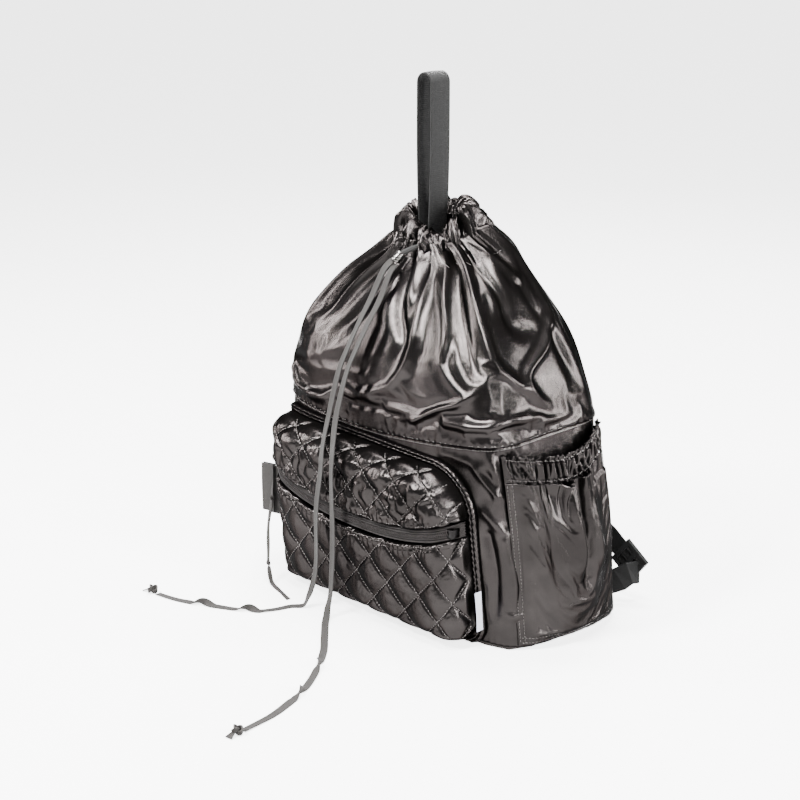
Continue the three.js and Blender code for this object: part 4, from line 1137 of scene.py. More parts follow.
        piece = wrapped(name, columns, rows, place, (330, 120 if not upper else 90), away=(-25, -40, 80))
        start = coordinates(piece)
        upright = start / MM
        upright[:, 0] += upright[:, 2] * BAG.lean_left / BAG.height
        x = upright[:, 0]
        z = upright[:, 2] / (1 - self.tilt * (x - self.middle) / (self.half * self.top))
        one, two = self.diagonals(x, z)
        lines = np.minimum(one, two) * QUILT_STEP
        rim = self.rim(x, self.sagged(z))
        lip = np.abs(z - self.zip_height(x)) - edge
        held = np.where((lines < 1.0) & (rim > 3), 1.0, 0.06)
        held = np.where((rim < 3.0) | (lip < 3.0), 1.0, held)
        drape(piece, held, 12, 4.0, 0.018 if upper else 0.006, 3.0, 1.2)
        thicken(piece, 2.2)
        finished(piece, QUILT_CLOTH, node)
        return piece

    def sew_quilting(self, panels: Sequence[bpy.types.Object]) -> None:
        """The stitches along the quilting's diagonals, set on the panels."""
        rows = []
        line_x = np.linspace(self.left, self.right, 3000)
        line_z = np.linspace(self.bottom, self.top, 3000)
        far_x, far_z = self.unrolled(line_x, line_z)
        span = (far_x[-1] - far_x[0]) / self.diamond_width
        for way in (1, -1):
            for k in range(-14, 20):
                u = np.linspace(-span, span, 700)
                v = (2 * k - u) * way if way > 0 else u - 2 * k
                x = np.interp(self.middle + u * self.diamond_width / 2, far_x, line_x)
                z = np.interp(self.bottom + v * self.diamond_height / 2, far_z, line_z, -99.0, 999.0)
                lip = np.abs(z - self.zip_height(x))
                keep = (self.rim(x, self.sagged(z)) > 0.5) & (z > self.bottom + 5) & (z < self.top - 1)
                keep = keep & (lip > 12.5)
                for start in np.nonzero(np.diff(np.concatenate([[0], keep.astype(int)])) == 1)[0]:
                    stop = start
                    while stop < len(keep) and keep[stop]:
                        stop += 1
                    if stop - start > 8:
                        rows.append((x[start:stop], z[start:stop]))
        made = []
        for k, (x, z) in enumerate(rows):
            run = BAG.lean(self.face(x, z, 0.0, -self.puff * 0.35 + 0.55))
            out = np.tile([0.0, -1.0, 0.12], (len(run), 1))
            aside = x - self.middle
            out[:, 0] = 0.7 * np.sign(aside) * smooth(np.abs(aside), self.half - 15, self.half)
            out[:, 2] += 0.7 * smooth(z, self.top - 15, self.top)
            made.append(stitched(f"quilt_row_{k}", run, out, THREAD, 3.5, 2.5, 1.15, on=panels))
        alone(*made)
        bpy.ops.object.join()
        piece = bpy.context.object
        piece.name = piece.data.name = "quilting_stitches"

    def outline(self, out: float, count: int) -> Array:
        """The pocket's outline moved out by a distance, evenly spaced, as x and z."""
        corners = ((1, 1, self.corner_top_right), (-1, 1, self.corner_top_left), (-1, -1, self.corner_bottom),
                   (1, -1, self.corner_bottom))
        points = []
        for k, (sx, sz, corner) in enumerate(corners):
            for angle in np.linspace(k, k + 1, 24) * math.pi / 2:
                x = self.middle + sx * (self.half - corner) + (corner + out) * math.cos(angle)
                z = self.centre + sz * (self.half_height - corner) + (corner + out) * math.sin(angle)
                points.append((x, self.tilted(x, z)))
        points.append(points[0])
        line = np.array(points)
        run = np.concatenate([[0], np.cumsum(np.hypot(*np.diff(line, axis=0).T))])
        at = np.linspace(0, run[-1], count)
        return np.stack([np.interp(at, run, line[:, k]) for k in range(2)], axis=1)

    def build_binding(self) -> None:
        """The binding round the pocket: two sewn ridges with a puckered groove between them."""
        around = 760

        def place(u: Array, v: Array) -> Array:
            """Rings from the pocket's side over both ridges to the sack."""
            made = []
            for share in v:
                out = self.seam_gap + self.binding_width * share
                line = self.outline(out, len(u))
                s = u * 850
                ridge = np.abs(math.sin(2 * math.pi * share)) ** 0.7
                wave = 0.55 * np.cos(2 * np.pi * s / 6.2 + 2.0 * grain(s / 11, share * 2, 0, 41))
                rise = self.binding_height * (0.15 + 0.8 * ridge) + wave * ridge
                z = np.maximum(line[:, 1], 1.9)
                y = BAG.front(line[:, 0], z) - rise
                made.append(np.stack([line[:, 0], y, z], axis=1))
            return BAG.lean(np.stack(made))

        piece = wrapped("pocket_piping", around, 16, place, (850, 14), True, (-25, 0, 80))
        thicken(piece, 1.2)
        finished(piece, SACK_CLOTH, "pocket_binding")
        line = self.outline(self.seam_gap + self.binding_width / 2, 700)
        z = np.maximum(line[:, 1], 1.0)
        run = np.stack([line[:, 0], BAG.front(line[:, 0], z) - self.binding_height * 0.3, z], axis=1)
        out = np.tile([0.0, -1.0, 0.2], (len(run), 1))
        stitched("piping_stitches", BAG.lean(run), out, THREAD, 3.2, 2.4, 1.0)

    def on_zip(self, x: Array, depth: float, shift: float = 0.0) -> Array:
        """Points along the zip, a depth below the face and shifted up by a distance."""
        z = self.zip_height(x) + shift
        return BAG.lean(self.face(x, z, 0.0, -depth))

    def build_zip(self, panels: Sequence[bpy.types.Object]) -> None:
        """The zip's tape, its coil of teeth, the slider, its ring, the end stop and the panels' edge rows."""
        x = self.left + 0.8 + self.share_from_rim(np.linspace(0, 1, 360), 2 * self.half - 1.6, (True, True))

        def place(u: Array, v: Array) -> Array:
            """The tape between the panels."""
            return np.stack([self.on_zip(x, self.recess + 0.6 + 1.0 * math.cos(10 * math.pi * share),
                                         (share - 0.5) * 2 * (self.zip_half - 0.4)) for share in v])

        tape = wrapped("zip_cloth", len(x) - 1, 50, place, (300, 15), away=(-25, -40, 110))
        thicken(tape, 1.0)
        finished(tape, ZIP_CLOTH, "pocket_zip_tape")
        inner = x[(x > self.left + 3) & (x < self.right - 3)]
        run = self.on_zip(inner, self.recess - 0.4)
        out = np.cross(unit(np.gradient(run, axis=0)), np.tile([0.0, 0.0, 1.0], (len(run), 1)))
        teeth = stitched("zip_teeth", run, out, COIL, 1.9, 4.6, 1.3, True)
        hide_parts("zip_coil")
        for name, shift in (("zip_stitches_low", -10.6), ("zip_stitches_high", 10.6)):
            line = x[(x > self.left + 8) & (x < self.right - 8)]
            row = self.on_zip(line, -0.1, shift)
            stitched(name, row, np.tile([0.0, -1.0, 0.15], (len(row), 1)), THREAD, 3.2, 2.4, 0.95, on=panels)
        self.build_slider()

    def build_slider(self) -> None:
        """The slider's shell with its ring, and the square end stop."""
        low, high = (np.array(corner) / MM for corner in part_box("zip_slider"))
        middle = (low + high) / 2
        alone_all()
        bpy.ops.mesh.primitive_cube_add(size=1)
        shell = bpy.context.object
        shell.name = shell.data.name = "zip_slider_shell"
        form = coordinates(shell)
        move_points(shell, form * np.array([10.5, 12.5, 8.6]) * MM)
        apply_modifier(shell, "BEVEL", width=2.0 * MM, segments=4, limit_method="ANGLE")
        points = coordinates(shell)
        waist = 1 - 0.25 * bell(points[:, 0] / MM + 1.5, 3.5)
        points[:, 2] *= waist
        move_points(shell, points + middle * MM)
        finished(shell, NICKEL, "zip_slider")
        bpy.ops.mesh.primitive_torus_add(major_radius=4.2 * MM, minor_radius=0.8 * MM, major_segments=40,
                                         minor_segments=10, location=(0, 0, 0))
        ring = bpy.context.object
        ring.name = ring.data.name = "zip_pull_ring"
        points = coordinates(ring)
        turned = np.stack([points[:, 0], points[:, 2] + 0.2 * points[:, 0], points[:, 1]], axis=1)
        low_pull, high_pull = (np.array(c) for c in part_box("zip_pull_tab"))
        spot = np.array([(low_pull[0] + high_pull[0]) / 2, high_pull[1], high_pull[2]])
        spot = spot + np.array([3, -1, -1]) * MM
        move_points(ring, turned + spot)
        finished(ring, NICKEL)
        low, high = (np.array(corner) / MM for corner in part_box("zip_end_stop"))
        alone_all()
        bpy.ops.mesh.primitive_cube_add(size=1)
        stop = bpy.context.object
        stop.name = stop.data.name = "zip_end_plate"
        move_points(stop, coordinates(stop) * ((high - low) * 0.94) * MM + (low + high) / 2 * MM)
        apply_modifier(stop, "BEVEL", width=0.9 * MM, segments=3, limit_method="ANGLE")
        finished(stop, STOP_METAL, "zip_end_stop")

    def build_pull(self) -> None:
        """The folded ribbon pull on the slider's ring."""
        low, high = (np.array(corner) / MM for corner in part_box("zip_pull_tab"))
        middle, top, foot = (low + high) / 2, high[2] - 1, low[2]
        reach = (high - low)[:2] / 2
        across = np.array([-1.0, 0.0, 0.0]) * reach[0] + np.array([0.0, 1.0, 0.0]) * (reach[1] - 1.4) * -1
        way = unit(across)
        thick = np.cross(way, [0.0, 0.0, 1.0])
        run = []
        for share in np.linspace(0, 1, 60):
            z = top - (top - foot) * share
            run.append(middle * [1, 1, 0] + [0, 0, z] + thick * (1.1 * math.cos(share * 3.0) + 0.5))
        for angle in np.linspace(0, math.pi, 12):
            run.append(np.array([middle[0], middle[1], foot - 0.2]) + thick * (-0.4 + 0.9 * math.cos(angle))
                       - np.array([0, 0, 0.8 * math.sin(angle)]))
        for share in np.linspace(0, 1, 60):
            z = foot + (top - foot) * share
            run.append(middle * [1, 1, 0] + [0, 0, z] - thick * (1.3 + 0.8 * math.sin(share * 2.6)))
        run = np.array(run)
        for name, shift, nodes in (("pull_ribbon", (-3.0, -3.0, -7.0), ("zip_pull_tab",)),
                                   ("pull_ribbon_back", (2.5, 2.5, -10.0), ())):
            piece = ribbon(name, run + shift, np.tile(way, (len(run), 1)), 15.0, 0.9, 8)
            finished(piece, TAPE, *nodes)

    def build_label(self) -> None:
        """The small blank tab sewn into the pocket's right edge."""
        low, high = (np.array(corner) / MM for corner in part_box("label_tab"))

        def place(u: Array, v: Array) -> Array:
            """A strip that stands out and curls a little at its edge."""
            y = high[1] + (low[1] + 4.5 - high[1]) * u[None, :] + 0 * v[:, None]
            z = low[2] + (high[2] - low[2]) * v[:, None] + 0 * u[None, :]
            x = (low[0] + high[0]) / 2 + 4.5 + 1.6 * (u ** 2)[None, :] * np.sin(2.2 * v + 0.6)[:, None]
            x = x + (z - (low[2] + high[2]) / 2) * -0.085
            return np.stack([x, y, z], axis=-1)

        piece = wrapped("blank_label", 16, 40, place, (12, 38))
        thicken(piece, 0.7, 0.0)
        finished(piece, LABEL_CLOTH, "label_tab")

    def build(self) -> None:
        """Builds the front pocket."""
        panels = (self.panel("pocket_upper_quilt", True, 230, 56, "pocket_upper_panel"),
                  self.panel("pocket_lower_quilt", False, 230, 96, "pocket_lower_panel"))
        self.sew_quilting(panels)
        self.build_binding()
        self.build_zip(panels)
        self.build_pull()
        self.build_label()


@dataclass
class SidePocket:
    """A bulging side pocket with a ruched elastic top."""

    name: str
    side: int
    front: float
    foot: float = 4.5
    top: float = 192.0
    back: float = 68.0
    bulge: float = 25.0
    cloth: float = 2.2
    band: float = 25.0
    stand: float = 15.0
    # up, out
    profile: tuple = ((0.0, 0.3), (0.06, 0.62), (0.2, 0.86), (0.42, 1.0), (0.64, 0.92), (0.8, 0.74))
    # The flat edge on each side as a share of the pocket's width, and the band's rows as shares of its height
    flange: float = 0.05
    rows: tuple = (0.1, 0.86)
    folds: tuple = (
        Fold(((0.12, 0.46), (0.13, 0.3), (0.17, 0.08)), 4.5, 24),
        Fold(((0.27, 0.46), (0.25, 0.32), (0.22, 0.12)), -6, 26),
        Fold(((0.36, 0.46), (0.40, 0.34), (0.45, 0.16)), 8, 30, -5),
        Fold(((0.54, 0.46), (0.55, 0.3), (0.53, 0.08)), -8, 28),
        Fold(((0.63, 0.46), (0.67, 0.34), (0.72, 0.16)), 8, 32, 5),
        Fold(((0.80, 0.46), (0.83, 0.3), (0.85, 0.1)), -7, 28),
        Fold(((0.92, 0.46), (0.92, 0.3), (0.94, 0.1)), 5, 20),
    )

    def rise_along(self, along: Array) -> Array:
        """How far the pocket's top climbs towards the back, and sags at its middle, in mm."""
        return 9 * smooth(along, 0.68, 0.95) - 6 * bell(along - 0.45, 0.28)

    def bowl(self, heights: Array, along: Array, stands: Array, proud: Array | None = None) -> Array:
        """Points of a cloth that bows out from the sack's side.

        Args:
            heights: the rows' heights in mm.
            along: shares from its front edge to its back edge.
            stands: how far it stands off, as rows and columns, in mm.
            proud: what its gathers add, also near its edges.

        Returns:
            The points, upright.
        """
        line = np.linspace(0, len(BAG.rows) - 1, 1200)
        table = sampled(np.array(BAG.rows, float), line)
        made = []
        proud = np.zeros(stands.shape) if proud is None else proud
        for height, stand, more in zip(heights, stands, proud):
            wide, deep, square = (np.interp(height / BAG.height, table[:, 0], table[:, k]) for k in (1, 2, 6))
            half_x, half_y = wide * BAG.width / 2, deep * BAG.depth / 2

            def edge(y: Array) -> Array:
                """The sack's side at a depth."""
                return half_x * (1 - np.minimum(np.abs(y) / half_y, 0.995) ** square) ** (1 / square)

            y = -self.front + (self.back + self.front) * along
            slope = edge(y + 1) - edge(y - 1)
            out = unit(np.stack([np.full(len(y), 2.0), -slope], axis=1))
            inner = np.clip((along - self.flange) / (1 - 2 * self.flange), 0, 1)
            bow = np.sin(np.pi * inner) ** 0.55 * (1 - 0.45 * smooth(along, 0.6, 1.0) * (height > 150))
            reach = 1.2 + (self.cloth - 0.9) * smooth(inner, 0.0, 0.08) + stand * bow + more
            lifted = height + self.rise_along(along) * smooth(height, self.foot + 50, self.top - 10)
            x = (edge(y) + out[:, 0] * reach) * self.side
            made.append(np.stack([x, y + out[:, 1] * reach, lifted], axis=1))
        return np.stack(made)

    def build(self) -> None:
        """Builds the pocket and its band, with their stitches."""
        table = np.array(self.profile, float)
        band_foot = self.top - self.band

        def place(u: Array, v: Array) -> Array:
            """The bag-like lower part, gathered into the band."""
            height = self.foot + (band_foot - 0.3 - self.foot) * v
            up = (height - self.foot) / (self.top - self.foot)
            out = np.interp(up, table[:, 0], table[:, 1]) * self.bulge
            s, z = u[None, :] * 190, height[:, None]
            gather = smooth(z, band_foot - 75, band_foot)
            wander = 0.8 * grain(s / 40, z / 45, 0, 51 + self.side)
            folds = 2.4 * gather ** 3 * np.cos(2 * np.pi * (u[None, :] * 15 + wander))
            folds = folds + fold_relief(self.folds, u, np.full(len(v), 190.0), height / BAG.height)
            soft = 1.8 * grain(s / 32, z / 42, 0, 53 + self.side)
            soft = soft + 1.2 * creases(s / 22 + 1.3 * wander, z / 60, 55)
            edge = np.sin(np.pi * u)[None, :] ** 0.4
            pucker = 0.9 * np.cos(2 * np.pi * z / 8.0 + 2 * grain(s / 9, z / 12, 0, 57)) * (
                bell(s, 9) + bell(190 - s, 9))
            return BAG.lean(self.bowl(height, u, out[:, None] + (folds + soft - 1) * edge + pucker))

        cloth = wrapped(f"side_pocket_cloth_{self.name}", 150, 120, place, (190, 165), away=(0, 0, 80))
        points = coordinates(cloth) / MM
        along = (points[:, 1] + points[:, 2] * BAG.lean_forward / BAG.height + self.front)
        along = along / (self.front + self.back)
        held = np.where((along < 0.07) | (along > 0.93), 1.0, 0.05)
        held = np.where((points[:, 2] < self.foot + 3) | (points[:, 2] > band_foot - 4), 1.0, held)
        drape(cloth, held, 8, 1.0, 0.008, 4.0, 5.0, 0.1)
        thicken(cloth, 1.4)
        finished(cloth, SACK_CLOTH, f"side_pocket_{self.name}")

        def ruched(u: Array, v: Array) -> Array:
            """The elastic top: gathers across its two rows of stitches."""
            height = band_foot + self.band * v
            s, z = u[None, :] * 150, v[:, None]
            wander = 0.7 * grain(s / 16, z * 1.2, 0, 61 + self.side)
            wave = np.cos(2 * np.pi * (s / 9.5 + wander)) + 0.4 * np.cos(2 * np.pi * (s / 4.3 - 1.4 * wander))
            pinch = sum(bell(z - row, 0.07) for row in self.rows)
            full = 2.3 * (1 - 0.6 * np.clip(pinch, 0, 1))
            lip = 1.5 * smooth(z, 0.85, 1.0) * np.cos(2 * np.pi * s / 10 + 3 * wander)
            stand = self.stand - 1.4 * np.clip(pinch, 0, 1)
            edge = smooth(np.minimum(u, 1 - u), 0.0, 0.09)[None, :]
            gathered = (wave * full + lip) * edge
            points = self.bowl(height, u, np.broadcast_to(stand, gathered.shape), gathered)
            points[..., 2] += 1.5 * wave * edge * smooth(z, 0.7, 1.0)
            return BAG.lean(points)

        band = wrapped(f"side_gather_{self.name}", 320, 36, ruched, (150, 25), away=(0, 0, 170))
        thicken(band, 2.0)
        finished(band, SACK_CLOTH, f"side_band_{self.name}")
        self.sew(cloth, band_foot)
        along = np.linspace(0.02, 0.98, 260)
        for row, share in enumerate(self.rows):
            line = self.bowl(np.array([band_foot + self.band * share]), along,
                             np.full((1, len(along)), self.stand + 0.5))[0]
            out = np.tile([float(self.side), -0.25, 0.0], (len(along), 1))
            stitched(f"band_stitches_{self.name}_{row}", BAG.lean(line), out, THREAD, 2.8, 2.0, 0.9, on=(band,))

    def sew(self, cloth: bpy.types.Object, top: float) -> None:
        """Twin rows of stitches down the front and back seams and along the bottom."""
        heights = np.linspace(self.foot + 4, top - 3, 200)
        along = np.linspace(0.02, 0.98, 220)
        out = np.array([float(self.side), -0.4, 0.0])
        for k, share in enumerate((0.012, 0.045, 0.957, 0.985)):
            line = self.bowl(heights, np.array([share]), np.zeros((len(heights), 1)))[:, 0]
            turned = np.tile(out * [1, 1 if share < 0.5 else -1, 1], (len(line), 1))
            stitched(f"pocket_side_stitches_{self.name}_{k}", BAG.lean(line), turned, THREAD, 3.4, 2.5, 0.95,
                     on=(cloth,))
        for k, height in enumerate((self.foot + 3, self.foot + 8)):
            line = self.bowl(np.array([height]), along, np.full((1, len(along)), self.bulge * 0.5))[0]
            level = np.tile(out * [1, 0, 1], (len(line), 1))
            stitched(f"pocket_foot_stitches_{self.name}_{k}", BAG.lean(line), level, THREAD, 3.4, 2.5, 0.95,
                     on=(cloth,))


@dataclass
class Straps:
    """The two shoulder straps on the back, with their ladder buckles."""

    width: float = 58.0
    thickness: float = 9.0
    webbing: float = 25.0

    def build_side(self, name: str, side: int) -> None:
        """Builds one strap."""
        pads = BAG.lean(spaced([(side * x, y, z) for x, y, z in (
            (22, 60, 356), (25, 78, 344), (31, 96, 316), (41, 108, 270), (50, 112, 210), (62, 110, 152),
            (77, 105, 104))], 150))
        share = np.linspace(0, 1, len(pads))
        width = self.width * (0.6 + 0.4 * smooth(share, 0, 0.4) - 0.28 * smooth(share, 0.8, 1))
        ahead = unit(np.gradient(pads, axis=0))
        across = np.tile([1.0, 0.0, 0.0], (len(pads), 1))
        wide = unit(across - ahead * (across * ahead).sum(axis=1, keepdims=True))
        out = np.cross(ahead, wide)
        out *= np.sign(out[:, 1:2])

        def place(u: Array, v: Array) -> Array:
            """A closed padded section, thin at its bound edges, with a slight quilted swell."""
            angle = 2 * np.pi * u
            c, s = np.cos(angle), np.sin(angle)
            swell = 1 + 0.06 * grain(v * 14, 0, 0, 71)
            half = (self.thickness / 2) * (0.30 + 0.70 * (1 - np.abs(c) ** 4)) * np.sign(s) * np.abs(s) ** 0.35
            seam = 1 - 0.35 * bell(np.abs(c) - 0.86, 0.04)
            close = np.clip(np.minimum(v, 1 - v) * 60, 0.25, 1)
            spread = width[:, None] / 2 * np.sign(c)[None, :] * (np.abs(c) ** 0.75)[None, :]
            flat = wide[:, None, :] * spread[..., None]
            deep = out[:, None, :] * (half * seam)[None, :, None] * (swell * close)[:, None, None]
            return pads[:, None, :] + flat + deep

        piece = wrapped(f"strap_pad_{name}", 64, len(pads) - 1, place, (120, 300), True)
        alone(piece)
        bpy.ops.object.mode_set(mode="EDIT")
        bpy.ops.mesh.select_all(action="DESELECT")
        bpy.ops.mesh.select_non_manifold()
        bpy.ops.mesh.edge_face_add()
        bpy.ops.mesh.select_all(action="SELECT")
        bpy.ops.mesh.normals_make_consistent(inside=False)
        bpy.ops.object.mode_set(mode="OBJECT")
        finished(piece, SACK_CLOTH, f"shoulder_strap_{name}")
        for row, way in (("in", -1), ("out", 1)):
            line = pads[4:-4] + wide[4:-4] * (way * (width[4:-4] / 2 - 4))[:, None] + out[4:-4] * 3.2
            stitched(f"strap_stitches_{name}_{row}", line, out[4:-4], THREAD, 3.4, 2.6, 0.6)

    def build(self) -> None:
        """Builds both straps and dresses their webbing and buckles."""
        for name, side in (("right", 1), ("left", -1)):
            self.build_side(name, side)
            for node, finish in ((f"strap_webbing_{name}", WEBBING), (f"strap_anchor_{name}", WEBBING),
                                 (f"strap_buckle_{name}", PLASTIC)):
                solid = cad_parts[node]
                solid.data.materials.clear()
                solid.data.materials.append(finish.material())
            self.thread_buckle(name)

    def thread_buckle(self, name: str) -> None:
        """The webbing that fills a ladder buckle's windows."""
        places = coordinates(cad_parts[f"strap_buckle_{name}"])
        middle = (places.max(axis=0) + places.min(axis=0)) / 2
        way = np.linalg.eigh(np.cov((places - middle).T))[1]
        reach = (places - middle) @ way
        long, wide, out = way[:, 2], way[:, 1], way[:, 0]
        half_long, half_wide = np.abs(reach[:, 2]).max() / MM, np.abs(reach[:, 1]).max() / MM
        run = middle / MM + np.linspace(-1, 1, 40)[:, None] * long * (half_long - 2.4)
        run = run + 0.8 * np.cos(np.linspace(-1, 1, 40) * 3 * math.pi)[:, None] * out
        piece = ribbon(f"threaded_webbing_{name}", run, np.tile(wide, (40, 1)), 2 * half_wide - 5.0, 1.6, 10)
        finished(piece, WEBBING)


@dataclass
class Loop:
    """The black webbing carry loop above the mouth."""

    foot: float = 369.0
    top: float = 527.1
    gap: float = 9.5
    waist: float = 6.0
    left: float = 28.0
    forward: float = 9.0
    width: float = 25.0

    def build(self) -> None:
        """Bends one band up, over and down."""
        rise = self.top - self.gap - self.foot
        halves = ((0, self.waist), (0.12, self.waist + 1), (0.3, self.gap - 1), (0.6, self.gap), (1.0, self.gap))
        leg = spaced([(-half, self.foot + rise * share) for share, half in halves], 90)
        angle = np.linspace(math.pi, 0, 40)[1:-1]
        arc = np.stack([self.gap * np.cos(angle), self.top - self.gap + self.gap * np.sin(angle)], axis=1)
        points = np.concatenate([leg, arc, leg[::-1] * [-1, 1]])
        run = np.stack([points[:, 0] - self.left, np.full(len(points), -self.forward), points[:, 1]], axis=1)
        across = np.tile([0.0, 1.0, 0.0], (len(run), 1))
        piece = ribbon("carry_webbing", run, across, self.width, 1.8, 14, 0.5)
        finished(piece, WEBBING, "handle_loop")


@dataclass(frozen=True)
class CordRoute:
    """A free lace's facts: what it replaces, its line in mm, its width and how it ends."""

    name: str
    node: str
    points: tuple
    width: float
    far_end: str
    turned: tuple


@dataclass
class Laces:
    """The drawstring's two flat ends, their stop and knots, and the zip pull's long tail."""

    thickness: float = 1.0
    floor: float = 0.65
    routes: tuple = (
        CordRoute("lace_left", "lace_a", (
            (-31, -60, 349.5), (-37, -66, 340.2), (-45.3, -74, 313.9), (-46, -89, 292.2), (-52.5, -98, 267.3),
            (-61, -105, 238.5), (-67, -113, 194.2), (-61, -125, 173.1), (-52.4, -135.5, 159.5),
            (-50.5, -138, 147.5), (-58.2, -138, 103.2), (-58.5, -138.5, 50.5), (-60.5, -142, 25),
            (-66, -148, 7), (-76, -158, 2.4), (-81, -176, 2.3), (-90, -192, 2.3), (-108.3, -203.9, 2.3),
            (-142.6, -221.9, 2.3), (-170.4, -232.7, 2.3), (-193.9, -237.5, 2.3)), 7.5, "knot",
            ((0.80, 1), (0.895, 1))),
        CordRoute("lace_right", "lace_b", (
            (-26, -60, 346.5), (-27.5, -67, 338), (-32.4, -75, 313.3), (-33.2, -90, 291.8), (-39.4, -99, 268),
            (-47.8, -106, 240.4), (-53, -115, 198), (-46.3, -125, 176.3), (-36.3, -135.5, 163.5),
            (-34.7, -138, 140.6), (-33, -138.5, 77.8), (-31.5, -143, 26.8), (-29, -150, 9), (-19, -161, 3.2),
            (7, -184, 2.6), (33, -207.6, 2.6), (65, -245.3, 2.6), (86, -278.2, 2.6), (98.5, -306.7, 2.6),
            (105.9, -330.4, 2.6), (112, -366, 2.6)), 7.5, "knot", ((0.76, 1), (0.86, 1))),
        CordRoute("pull_tail", "zip_pull_tail", (
            (-167.6, -106, 114), (-167.4, -106.3, 98), (-165, -109.5, 78), (-159, -119, 55), (-151, -126, 33),
            (-145, -131, 18), (-136, -134.5, 7), (-115, -140.4, 2.8), (-92, -148, 2.6)), 4.5, "bare",
            ((0.2, 1), (0.62, 1))),
    )

    def outward(self, run: Array) -> Array:
        """The way out of what a lace lies on: forwards over the dome and pocket, and up on the floor."""
        forward = np.array([-0.12, -0.93, 0.35])
        up = np.array([0.0, 0.0, 1.0])
        share = smooth(run[:, 2], 2.0, 26.0)[:, None]
        return unit(forward * share + up * (1 - share))

    def build_cord(self, route: CordRoute) -> tuple[bpy.types.Object, Array]:
        """A flat lace that turns over where it is twisted, its lowest edge on what carries it.

        Args:
            route: the lace's facts.

        Returns:
            The lace, and the points that it follows in mm.
        """
        run = spaced(route.points, 260)
        share = np.linspace(0, 1, len(run))
        ahead = unit(np.gradient(run, axis=0))
        out = self.outward(run)
        flat = unit(np.cross(ahead, out))
        out = unit(np.cross(flat, ahead))
        turn = np.zeros(len(run))
        for place, way in route.turned:
            turn += way * math.pi * smooth(share, place - 0.028, place + 0.028)
        turn += 0.12 * np.sin(share * 30)
        across = flat * np.cos(turn)[:, None] + out * np.sin(turn)[:, None]
        lying = 1 - smooth(run[:, 2], 2.9, 12.0)
        lift = np.abs(across[:, 2]) * route.width / 2 + self.thickness / 2 + 0.15
        run[:, 2] = run[:, 2] * (1 - lying) + lift * lying
        piece = ribbon(route.name, run, across, route.width, self.thickness, 6, 0.25)
        finished(piece, TAPE, route.node)
        return piece, run

    def build_knot(self, name: str, node: str, ahead: Array) -> list[bpy.types.Object]:
        """A pulled-tight overhand knot with a short flared end."""
        low, high = (np.array(corner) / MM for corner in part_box(node))
        middle = (low + high) / 2
        turn = np.linspace(0, 2 * math.pi, 121)
        wave = np.stack([np.sin(turn) + 2 * np.sin(2 * turn), np.cos(turn) - 2 * np.cos(2 * turn),
                         -np.sin(3 * turn)], axis=1) * np.array([1.45, 1.45, 1.9])
        middle[2] = 4.6
        run = wave + middle
        ring = np.cross(np.gradient(run, axis=0), np.array([0.0, 0.0, 1.0]))
        knot = ribbon(name, run, unit(ring * 0.35 + [0, 0, 0.8]), 4.0, 1.4, 6, 0.4)
        finished(knot, TAPE, node)
        start = middle + ahead * 3.0
        line = spaced([start, start + ahead * 4 + [0, 0, -1.4], start + ahead * 8 + [0, 0, -3.4]], 24)
        line[:, 2] = np.maximum(line[:, 2], 1.0)
        side = np.cross(ahead, [0.0, 0.0, 1.0])
        flare = ribbon(name + "_end", line, np.tile(side, (24, 1)), np.linspace(3.2, 8.0, 24), 0.9, 8, 0.5)
        finished(flare, TAPE)
        return [knot, flare]

    def build_stop(self) -> bpy.types.Object:
        """The barrel cord stop, turned from a line of radii, with two grooves round it."""
        a, b = np.array(self.routes[0].points[0], float), np.array(self.routes[1].points[0], float)
        a2, b2 = np.array(self.routes[0].points[1], float), np.array(self.routes[1].points[1], float)
        axis = unit((a + b) / 2 - (a2 + b2) / 2)
        centre = (a + b) / 2 + axis * (11 / 2 + 0.9)
        side = unit(np.cross(axis, [0.0, 0.0, 1.0]))
        up = np.cross(side, axis)
        # along, radius
        profile = np.array([
            (-5.5, 0.4), (-5.5, 3.6), (-5.1, 4.6), (-4.0, 5.0), (-3.1, 5.0), (-2.8, 4.6), (-2.5, 4.6), (-2.2, 5.0),
            (2.2, 5.0), (2.5, 4.6), (2.8, 4.6), (3.1, 5.0), (4.4, 5.0), (5.3, 4.4), (5.5, 3.4), (5.5, 0.4)])

        def place(u: Array, v: Array) -> Array:
            """Rings of the turned barrel."""
            line = np.linspace(0, len(profile) - 1, len(v))
            along, radius = (np.interp(line, np.arange(len(profile)), profile[:, k]) for k in (0, 1))
            c, s = np.cos(2 * np.pi * u)[None, :, None], np.sin(2 * np.pi * u)[None, :, None]
            ring = side[None, None] * c + up[None, None] * s
            return centre + axis * along[:, None, None] + ring * radius[:, None, None]

        piece = wrapped("barrel_stop", 48, 60, place, (30, 11), True, tuple(centre))
        return finished(piece, NICKEL, "cord_stop")

    def build(self) -> None:
        stop = self.build_stop()
        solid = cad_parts["lace_root"]
        solid.data.materials.clear()
        solid.data.materials.append(TAPE.material())
        for route in self.routes:
            piece, run = self.build_cord(route)
            ahead = run[-1] - run[-4]
            ahead[2] = 0
            on_it = []
            if route.far_end == "knot":
                node = route.node.replace("lace_", "lace_knot_")
                on_it = self.build_knot(route.name + "_knot", node, unit(ahead))
            if route.node == "lace_a":
                on_it.append(stop)
            length = np.linalg.norm(np.diff(run, axis=0), axis=1).sum() * MM


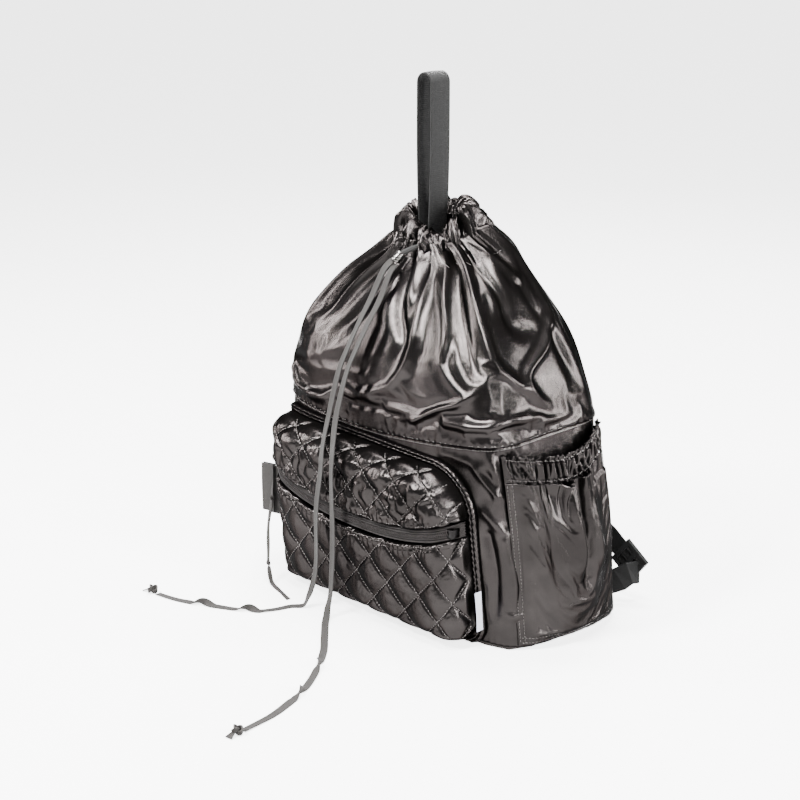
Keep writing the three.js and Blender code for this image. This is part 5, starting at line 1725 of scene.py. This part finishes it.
@dataclass
class Studio:
    """The pale floor, the soft lights and the camera of the photograph."""

    azimuth: float = 47.5
    elevation: float = 16.4
    distance: float = 1.8952
    aim_right: float = -0.0578
    aim_height: float = 0.2026

    def soft_box(self, name: str, azimuth: float, elevation: float, far: float, size: tuple[float, float],
                 power: float) -> None:
        """A rectangular light that looks at the bag."""
        a, e = math.radians(azimuth), math.radians(elevation)
        away = Vector((math.cos(e) * math.sin(a), -math.cos(e) * math.cos(a), math.sin(e)))
        spot = away * far + Vector((0, 0, 0.2))
        bpy.ops.object.light_add(type="AREA", location=spot)
        light = bpy.context.object
        light.name = name
        light.data.shape = "RECTANGLE"
        light.data.size, light.data.size_y = size
        light.data.energy = power
        light.rotation_euler = (Vector((-0.03, -0.03, 0.2)) - spot).to_track_quat("-Z", "Y").to_euler()

    def build(self) -> None:
        """Builds the floor, the lights, the pale surroundings and the camera."""
        alone_all()
        bpy.ops.mesh.primitive_plane_add(size=30, location=(0, 0, 0))
        floor = bpy.context.object
        floor.name = "pale_floor"
        n = Nodes("pale floor")
        n.set(Base_Color=(0.32, 0.32, 0.32, 1), Roughness=0.9, Specular_IOR_Level=0.0,
              Emission_Color=(1, 1, 1, 1), Emission_Strength=3.6)
        floor.data.materials.append(n.made)

        world = bpy.context.scene.world or bpy.data.worlds.new("studio")
        bpy.context.scene.world = world
        world.use_nodes = True
        tree = world.node_tree
        pale, dim = tree.nodes["Background"], tree.nodes.new("ShaderNodeBackground")
        seen, mixed = tree.nodes.new("ShaderNodeLightPath"), tree.nodes.new("ShaderNodeMixShader")
        for node, colour, strength in ((pale, (0.96, 0.96, 0.965, 1), 7.0), (dim, (0.95, 0.96, 1.0, 1), 0.6)):
            node.inputs["Color"].default_value, node.inputs["Strength"].default_value = colour, strength
        tree.links.new(seen.outputs["Is Camera Ray"], mixed.inputs["Fac"])
        tree.links.new(dim.outputs[0], mixed.inputs[1])
        tree.links.new(pale.outputs[0], mixed.inputs[2])
        tree.links.new(mixed.outputs[0], tree.nodes["World Output"].inputs["Surface"])

        self.soft_box("key", -8, 44, 1.7, (0.42, 0.34), 175)
        self.soft_box("side", 92, 15, 1.9, (0.16, 0.9), 120)
        self.soft_box("right_strip", 132, 15, 1.9, (0.16, 0.9), 110)
        self.soft_box("top", 42, 76, 1.6, (0.42, 0.32), 120)
        self.soft_box("over", 225, 74, 1.7, (1.1, 0.5), 190)
        self.soft_box("left_strip", -54, 15, 1.9, (0.14, 0.9), 100)
        self.soft_box("front_strip", 62, 24, 2.4, (0.12, 0.8), 60)
        self.soft_box("back", 215, 30, 2.0, (0.6, 0.4), 60)

        a, e = math.radians(self.azimuth), math.radians(self.elevation)
        aim = Vector((math.cos(a), math.sin(a), 0)) * self.aim_right + Vector((0, 0, self.aim_height))
        away = Vector((math.cos(e) * math.sin(a), -math.cos(e) * math.cos(a), math.sin(e)))
        bpy.ops.object.camera_add(location=aim + away * self.distance)
        camera = bpy.context.object
        camera.data.sensor_fit = "HORIZONTAL"
        camera.data.lens, camera.data.sensor_width = 85, 36
        camera.rotation_euler = (-away).to_track_quat("-Z", "Y").to_euler()
        bpy.context.scene.camera = camera


def main() -> None:
    """Builds the scene, one sub-assembly after another."""
    logging.basicConfig(level=logging.INFO, format="%(name)s: %(message)s")
    parts = [Studio(), Laces(), Loop(), Sack(), FrontPocket(), SidePocket("right", 1, 66.0),
             SidePocket("left", -1, 48.0), Straps()]
    for part in parts:
        LOG.info("building %s", type(part).__name__)
        part.build()


if __name__ == "__main__":
    main()
